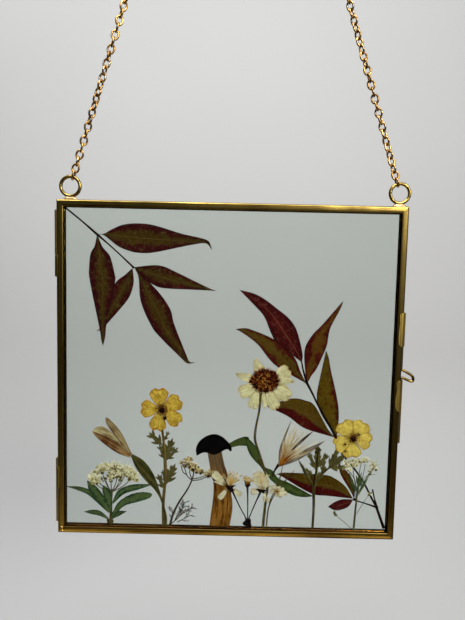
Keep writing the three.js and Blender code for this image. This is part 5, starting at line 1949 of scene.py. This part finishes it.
    def branched(self, piece: Pressing, base: Point, angle: float, length: float, width: float, depth: int,
                 layer: float, dice: random.Random) -> None:
        """Adds a feathery twig that forks into thinner ones."""
        swing = radians(angle)
        end = away(base, length, swing)
        bow = dice.uniform(-0.06, 0.06) * length
        knee = (base[0] + 0.5 * length * cos(swing) - bow * sin(swing),
                base[1] + 0.5 * length * sin(swing) + bow * cos(swing))
        piece.stalk([base, knee, end], (width, max(width * 0.6, 0.26)), layer, 0.3, steps=6, sides=5)
        if depth:
            for share in (0.28, 0.5, 0.72, 0.92):
                start = (base[0] + share * (end[0] - base[0]), base[1] + share * (end[1] - base[1]))
                side = dice.choice((-1, 1))
                lean = angle + side * dice.uniform(24, 42)
                self.branched(piece, start, lean, length * dice.uniform(0.3, 0.46), width * 0.62, depth - 1,
                              layer, dice)

    def sprig(self) -> None:
        """The thin forked sprig with ochre florets, and the feathery branch at its foot."""
        twig = Pressing(self.datum, "floret_twigs")
        twig.stalk([(-33.6, -93.5), (-31.6, -86.0), (-28.0, -78.4), (-23.4, -71.0), (-20.6, -64.6),
                    (-19.4, -58.6)],
                   (1.3, 1.2, 1.0, 0.85, 0.6), 4, 0.2, steps=50)
        for route in (((-20.9, -65.2), (-23.6, -62.4), (-25.4, -57.4)),
                      ((-20.8, -64.6), (-22.0, -61.0), (-22.6, -56.8)),
                      ((-21.0, -65.4), (-16.4, -64.8), (-11.2, -62.6)),
                      ((-20.4, -64.4), (-15.8, -63.4), (-12.4, -61.8)),
                      ((-24.0, -61.8), (-26.2, -60.2), (-27.2, -56.4))):
            twig.stalk(route, (0.65, 0.55, 0.45), 4, 0.3, steps=16, sides=7)
        dice = random.Random(8)
        for start, angle, length in (((-33.2, -92.8), 47, 13.5), ((-30.4, -90.2), 62, 11.5),
                                     ((-27.6, -87.4), 72, 9.0),
                                     ((-32.4, -90.8), 88, 7.4), ((-29.0, -91.2), 30, 9.0),
                                     ((-25.4, -85.4), 38, 6.4)):
            self.branched(twig, start, angle, length, 0.6, 2, 4.4, dice)
        self.keep(twig.make(TWIG), Slot.PETAL_CREAM, "floret_sprig")
        mounds = ((-24.2, -54.6, 3.6, 3.0, 26), (-20.2, -57.0, 3.4, 2.2, 24), (-16.6, -59.4, 2.6, 1.6, 14),
                  (-10.8, -61.0, 2.8, 2.4, 20), (-22.4, -52.2, 2.0, 1.4, 8))
        self.cluster("sprig_florets", mounds, 0.85, 6.0, OCHRE_FLORET, 4)
        for i, centre in enumerate(((-24.6, -56.4), (-20.0, -58.6), (-15.4, -60.4), (-11.0, -62.4))):
            self.stamens(f"sprig_calyx_{i + 1}", centre, 6, 1.1, 7.2, STAMEN, 0.55)

    def mushroom(self) -> None:
        """The mushroom: a near-black cap over a streaked ochre stalk."""
        stalk = Pressing(self.datum, "mushroom_stalk_flesh")
        look = Look(1.4, 0.4, 0.03, 0.002, along=90, across=26, seed=2)
        left = [(-9.9, -93.5), (-7.7, -71.2), (-9.6, -60.0), (-11.9, -47.4)]
        right = [(2.2, -93.5), (3.7, -79.6), (0.4, -61.6), (-1.6, -55.4), (-3.4, -47.4)]
        stalk.drawn(left, right, look)
        self.keep(stalk.make(MUSHROOM), Slot.MUSHROOM_FLESH, "mushroom_stem")
        cap = Pressing(self.datum, "mushroom_cap_skin")
        lower = [(-17.9, -50.0), (-14.8, -48.3), (-12.0, -48.2), (-7.2, -49.2), (-0.6, -45.8),
                 (1.5, -47.0), (2.4, -46.6)]
        upper = [(-18.2, -50.0), (-18.7, -46.2), (-17.2, -42.0), (-14.0, -38.9), (-10.4, -37.2),
                 (-6.8, -36.9), (-3.4, -38.2), (0.0, -41.0), (2.2, -44.0), (2.6, -46.4)]
        cap.drawn(upper, lower, Look(4.6, 0.5, 0.03, 0.004, along=70, across=24, seed=5))
        self.keep(cap.make(CAP), Slot.MUSHROOM_CAP, "mushroom_cap")

    def blossoms(self) -> None:
        """Three cream blossoms on thin dark stalks from one bud, and a small white flower."""
        spray = Pressing(self.datum, "blossom_petals")
        petal = Look(7, 0.2, 0.06, 0.05, 0.2, 0.1, along=26, across=12)
        strap, taper = Outline.STRAP, Outline.TAPER
        single = [
            ((-0.3, -67.1), 137, 11.6, 4.8, 7.4, 0.2, strap), ((-1.0, -68.0), 160, 8.2, 1.4, 7.6, 0.3, taper),
            ((0.4, -69.4), 233, 9.0, 3.4, 7.2, 0.2, strap), ((3.8, -69.8), -35, 6.6, 3.4, 7.2, 0.2, strap),
            ((19.6, -69.2), 206, 6.0, 4.2, 7.0, 0.2, strap), ((23.4, -70.8), -82, 7.4, 4.0, 7.2, 0.25, strap),
            ((2.6, -66.4), 22, 6.4, 2.0, 7.0, 0.3, taper),
        ]
        dice = random.Random(31)
        fans = (((2.4, -68.0), 8, 122, 58, 6.6, 6.0, 2.4), ((12.4, -66.0), 5, 140, 40, 4.6, 4.0, 1.7),
                ((21.6, -69.6), 18, 134, 52, 11.8, 6.4, 1.9))
        for centre, count, first, last, reach, least, width in fans:
            for i in range(count):
                share = i / (count - 1)
                far = reach + (least - reach) * share ** 2
                single.append((centre, first + (last - first) * share + dice.uniform(-4, 4),
                               far * dice.uniform(0.8, 1.06), width * dice.uniform(0.7, 1.2),
                               7.4 + 0.25 * (i % 4), 0.1 + 0.15 * (i % 4), strap if i % 2 else taper))
        for i, (centre, angle, reach, width, layer, tint, outline) in enumerate(single):
            look = replace(petal, layer=layer, tint=tint, seed=80 + i)
            spray.petal(centre, angle, 0.3, reach, width, look, outline, 0.3 * (-1) ** i)
        ink = 1
        for route, foot in ((((12.2, -88.0), (7.6, -79.6), (2.6, -69.2)), 0.9),
                            (((13.0, -88.0), (12.8, -77.0),
                            (12.4, -68.0)), 0.9), (((13.6, -88.0), (16.8, -79.6), (20.6, -70.4)), 0.9)):
            spray.stalk(route, (0.7, 0.65, 0.8, 1.5 * foot), 7.6, 0.5, ink, steps=30)
        for centre, size, turn in (((13.0, -90.6), (2.3, 3.0), 0), ((2.4, -69.6), (1.7, 2.2), 28),
                                   ((12.4, -67.2), (1.5, 1.6), 0), ((20.8, -70.6), (2.0, 1.3), -20)):
            spray.pad(centre, size, 7.8, 0.4, 2, 0.5, turn, 0.12)
        for start, angle in (((13.0, -90.4), 60), ((13.0, -90.4), 118), ((2.2, -68.6), 168),
                             ((2.2, -68.6), 18),
                             ((12.4, -66.6), 46), ((12.4, -66.6), 134), ((21.0, -70.2), -4),
                             ((20.6, -70.2), 172)):
            look = Look(8.2, 0.5, 0.03, 0.01, finish=2, along=10, across=6, seed=angle)
            spray.petal(start, angle, 0.2, 3.4, 1.3, look, Outline.SPIKE)
        self.keep(spray.make(BLOSSOM, INK_STALK, DARK_BUD), Slot.PETAL_CREAM, "blossom_spray")
        self.stamens("blossom_left_stamens", (2.6, -67.4), 26, 8.2, 8.6, STAMEN_GOLD, 0.6, 0.36, 0.62, 40, 84)
        self.stamens("blossom_middle_stamens", (12.3, -66.0), 16, 4.2, 8.6, STAMEN_GOLD, 1.3, 0.32, 0.58, 36,
                     112)
        self.stamens("blossom_right_stamens", (20.6, -66.0), 16, 7.4, 8.8, STAMEN_GOLD, 0.3, 0.36, 0.8, 66,
                     60)
        small = Pressing(self.datum, "small_flower_stalk")
        small.stalk([(24.3, -93.5), (25.2, -82.0), (27.4, -75.4), (29.4, -71.4)], (0.9, 0.8, 0.7, 0.6), 4,
                    0.4)
        small.stalk([(24.8, -84.4), (26.4, -76.0), (28.6, -71.0)], (0.6, 0.55, 0.5), 4, 0.4)
        for i, (angle, reach, width) in enumerate(((152, 6.0, 2.4), (118, 4.6, 2.2), (64, 4.0, 2.4),
                                                   (20, 5.0, 2.2),
                                                   (-14, 6.6, 2.8), (-52, 5.0, 2.4), (-88, 3.6, 2.2),
                                                   (192, 4.4, 2.2))):
            look = replace(petal, layer=5 + 0.6 * (i % 3), tint=0.06 + 0.06 * (i % 3), finish=1, seed=50 + i)
            small.petal((30.0, -70.6), angle, 0.2, reach, width, look, Outline.PETAL)
        self.keep(small.make(GREEN_STALK, BLOSSOM), Slot.PETAL_CREAM, "small_white_flower")
        self.stamens("small_flower_stamens", (30.2, -70.6), 12, 1.7, 7.4, STAMEN_GOLD, 0.7)

    def seed_head(self) -> None:
        """The papery seed head: long streaked bracts round an orange heart, and blades of grass."""
        head = Pressing(self.datum, "seed_head_bracts")
        long = Look(5.4, 0.4, 0.03, 0.002, finish=1, along=44, across=10)
        head.stalk([(26.9, -62.0), (28.4, -58.0), (30.7, -54.2)], (0.9, 1.1, 1.9), 5.6, 0.4)
        bracts = (
            ([(30.2, -54.6), (30.7, -45.6), (33.0, -37.8), (37.4, -27.0)],
             [(31.0, -53.6), (33.1, -43.4), (35.1, -34.8), (37.5, -27.0)]),
            ([(30.9, -55.4), (39.2, -49.2), (48.2, -43.7), (57.4, -39.2)],
             [(31.6, -55.6), (40.9, -51.9), (49.9, -46.2), (57.4, -39.4)]),
            ([(37.6, -45.4), (41.4, -40.8), (45.4, -36.9), (50.6, -33.4)],
             [(38.4, -45.6), (42.8, -41.8), (46.6, -37.9), (50.6, -33.6)]),
        )
        for i, (left, right) in enumerate(bracts):
            head.drawn(left, right, replace(long, layer=5.6 + 0.5 * i, seed=90 + i, tint=0.3 + 0.2 * i))
        dice = random.Random(14)
        for i in range(150):
            angle = 84 - 58 * i / 149 + dice.uniform(-4, 4)
            reach = dice.uniform(5, 27)
            swing, lean = radians(angle), radians(angle + dice.uniform(-7, 7))
            base = (31.2 + dice.uniform(-0.4, 0.9), -54.4 + dice.uniform(-0.4, 0.8))
            route = [base, away(base, 0.55 * reach, swing), away(base, reach, lean)]
            near = reach < 13
            head.stalk(route, (0.3 + 0.2 * near, 0.26, 0.12), 6.0 + 0.12 * (i % 8) + 0.7 * near,
                       0.4 * (i % 3), 2 + near, steps=8, sides=5)
        green = 4
        for route in (((29.8, -67.4), (31.4, -63.0), (33.0, -55.2)),
                      ((30.2, -67.4), (34.4, -64.4), (40.0, -57.4))):
            head.stalk(route, (1.1, 0.9, 0.3), 7.2, 0.5, green, steps=16, sides=7)
        piece = head.make(INK_STALK, BRACT, STRAND, HEART, GREEN_STALK)
        self.keep(piece, Slot.BUD_BROWN, "papery_seed_head")

    def white_cluster(self) -> None:
        """The small plant with a cluster of tiny white flowers and a few buds."""
        stems = Pressing(self.datum, "white_cluster_stems")
        for route, width in (
            (((76.5, -93.5), (77.2, -80.7), (77.8, -70.3), (78.4, -58.6)), 1.3),
            (((77.6, -72.0), (81.8, -63.0), (85.4, -56.4)), 0.6),
            (((77.6, -70.0), (76.2, -63.0), (72.4, -56.8)), 0.5),
            (((77.8, -67.6), (80.6, -60.6), (81.8, -53.0)), 0.5),
            (((78.0, -83.4), (81.3, -77.2), (84.6, -71.6)), 0.4),
            (((75.4, -92.6), (70.2, -88.2), (65.8, -84.6)), 0.4),
            (((77.7, -69.0), (75.4, -60.6), (74.6, -54.4)), 0.6),
            (((78.0, -66.0), (78.6, -58.0), (79.4, -52.0)), 0.5),
            (((77.9, -64.0), (83.4, -59.8), (88.0, -58.6)), 0.4),
            (((77.8, -75.0), (74.4, -67.0), (72.8, -60.6)), 0.4),
        ):
            stems.stalk(route, (width, width * 0.8, width * 0.6), 8.2, 0.5, steps=24, sides=8)
        for i in range(9):
            base = (77.2 + 0.14 * i, -72.0 + 2.2 * (i % 4))
            tip = (72.4 + 1.5 * i, -57.4 - 2.1 * (i * 2 % 5))
            look = Look(8.6, 0.3, 0.02, 0.006, finish=1, along=20, across=6, seed=i)
            stems.shaped([base, tip], 1.15, Outline.LANCE, look)
        for centre, turn in (((65.5, -84.3), 30), ((64.7, -82.9), 60), ((84.8, -71.2), 70),
                             ((85.6, -70.6), 20)):
            stems.pad(centre, (1.0, 0.8), 8.4, 0.2, 0, 0.35, turn)
        self.keep(stems.make(THIN_STALK, BLUE_GREEN), Slot.PETAL_CREAM, "white_cluster")
        mounds = ((74.0, -52.8, 4.4, 2.2, 10), (71.4, -55.4, 2.4, 2.4, 6), (80.8, -50.4, 3.4, 1.6, 9),
                  (86.8, -53.8, 2.8, 3.0, 12), (84.6, -57.6, 1.8, 1.6, 4), (76.4, -50.6, 2.6, 1.2, 6),
                  (85.4, -70.8, 0.7, 0.7, 2), (70.2, -51.8, 1.6, 1.2, 4))
        self.cluster("white_cluster_florets", mounds, 1.05, 9.0, FLORET)

    def make(self) -> None:
        """Builds every specimen."""
        self.left_spray()
        self.right_spray()
        self.daisy()
        self.yellow_flowers()
        self.cut_leaf_plant()
        self.lily()
        self.umbel()
        self.sprig()
        self.mushroom()
        self.blossoms()
        self.seed_head()
        self.white_cluster()


# The whole piece ------------------------------------------------------------------------------


def dress_node(frame: dict, node: str, finish: Finish) -> None:
    """Gives a CAD node that stays in view its finish."""
    piece = frame["nodes"][node]
    piece.data.materials.clear()
    piece.data.materials.append(finish.material())


def main() -> None:
    """Builds the looks of the whole piece around its frame."""
    logging.basicConfig(level=logging.INFO, format="%(name)s: %(message)s")
    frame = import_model()
    datum = Datum.from_frame()
    Viewpoint().make(datum)
    Chain(datum).make()
    Metalwork(datum).make()
    glass = ClearGlass("float_glass")
    for node in ("back_glass", "front_glass"):
        dress_node(frame, node, glass)
    for node in ("hinge_top_pin", "hinge_bottom_pin"):
        dress_node(frame, node, WIRE)
    Specimens(datum).make()
    Studio().make(datum)


if __name__ == "__main__":
    main()
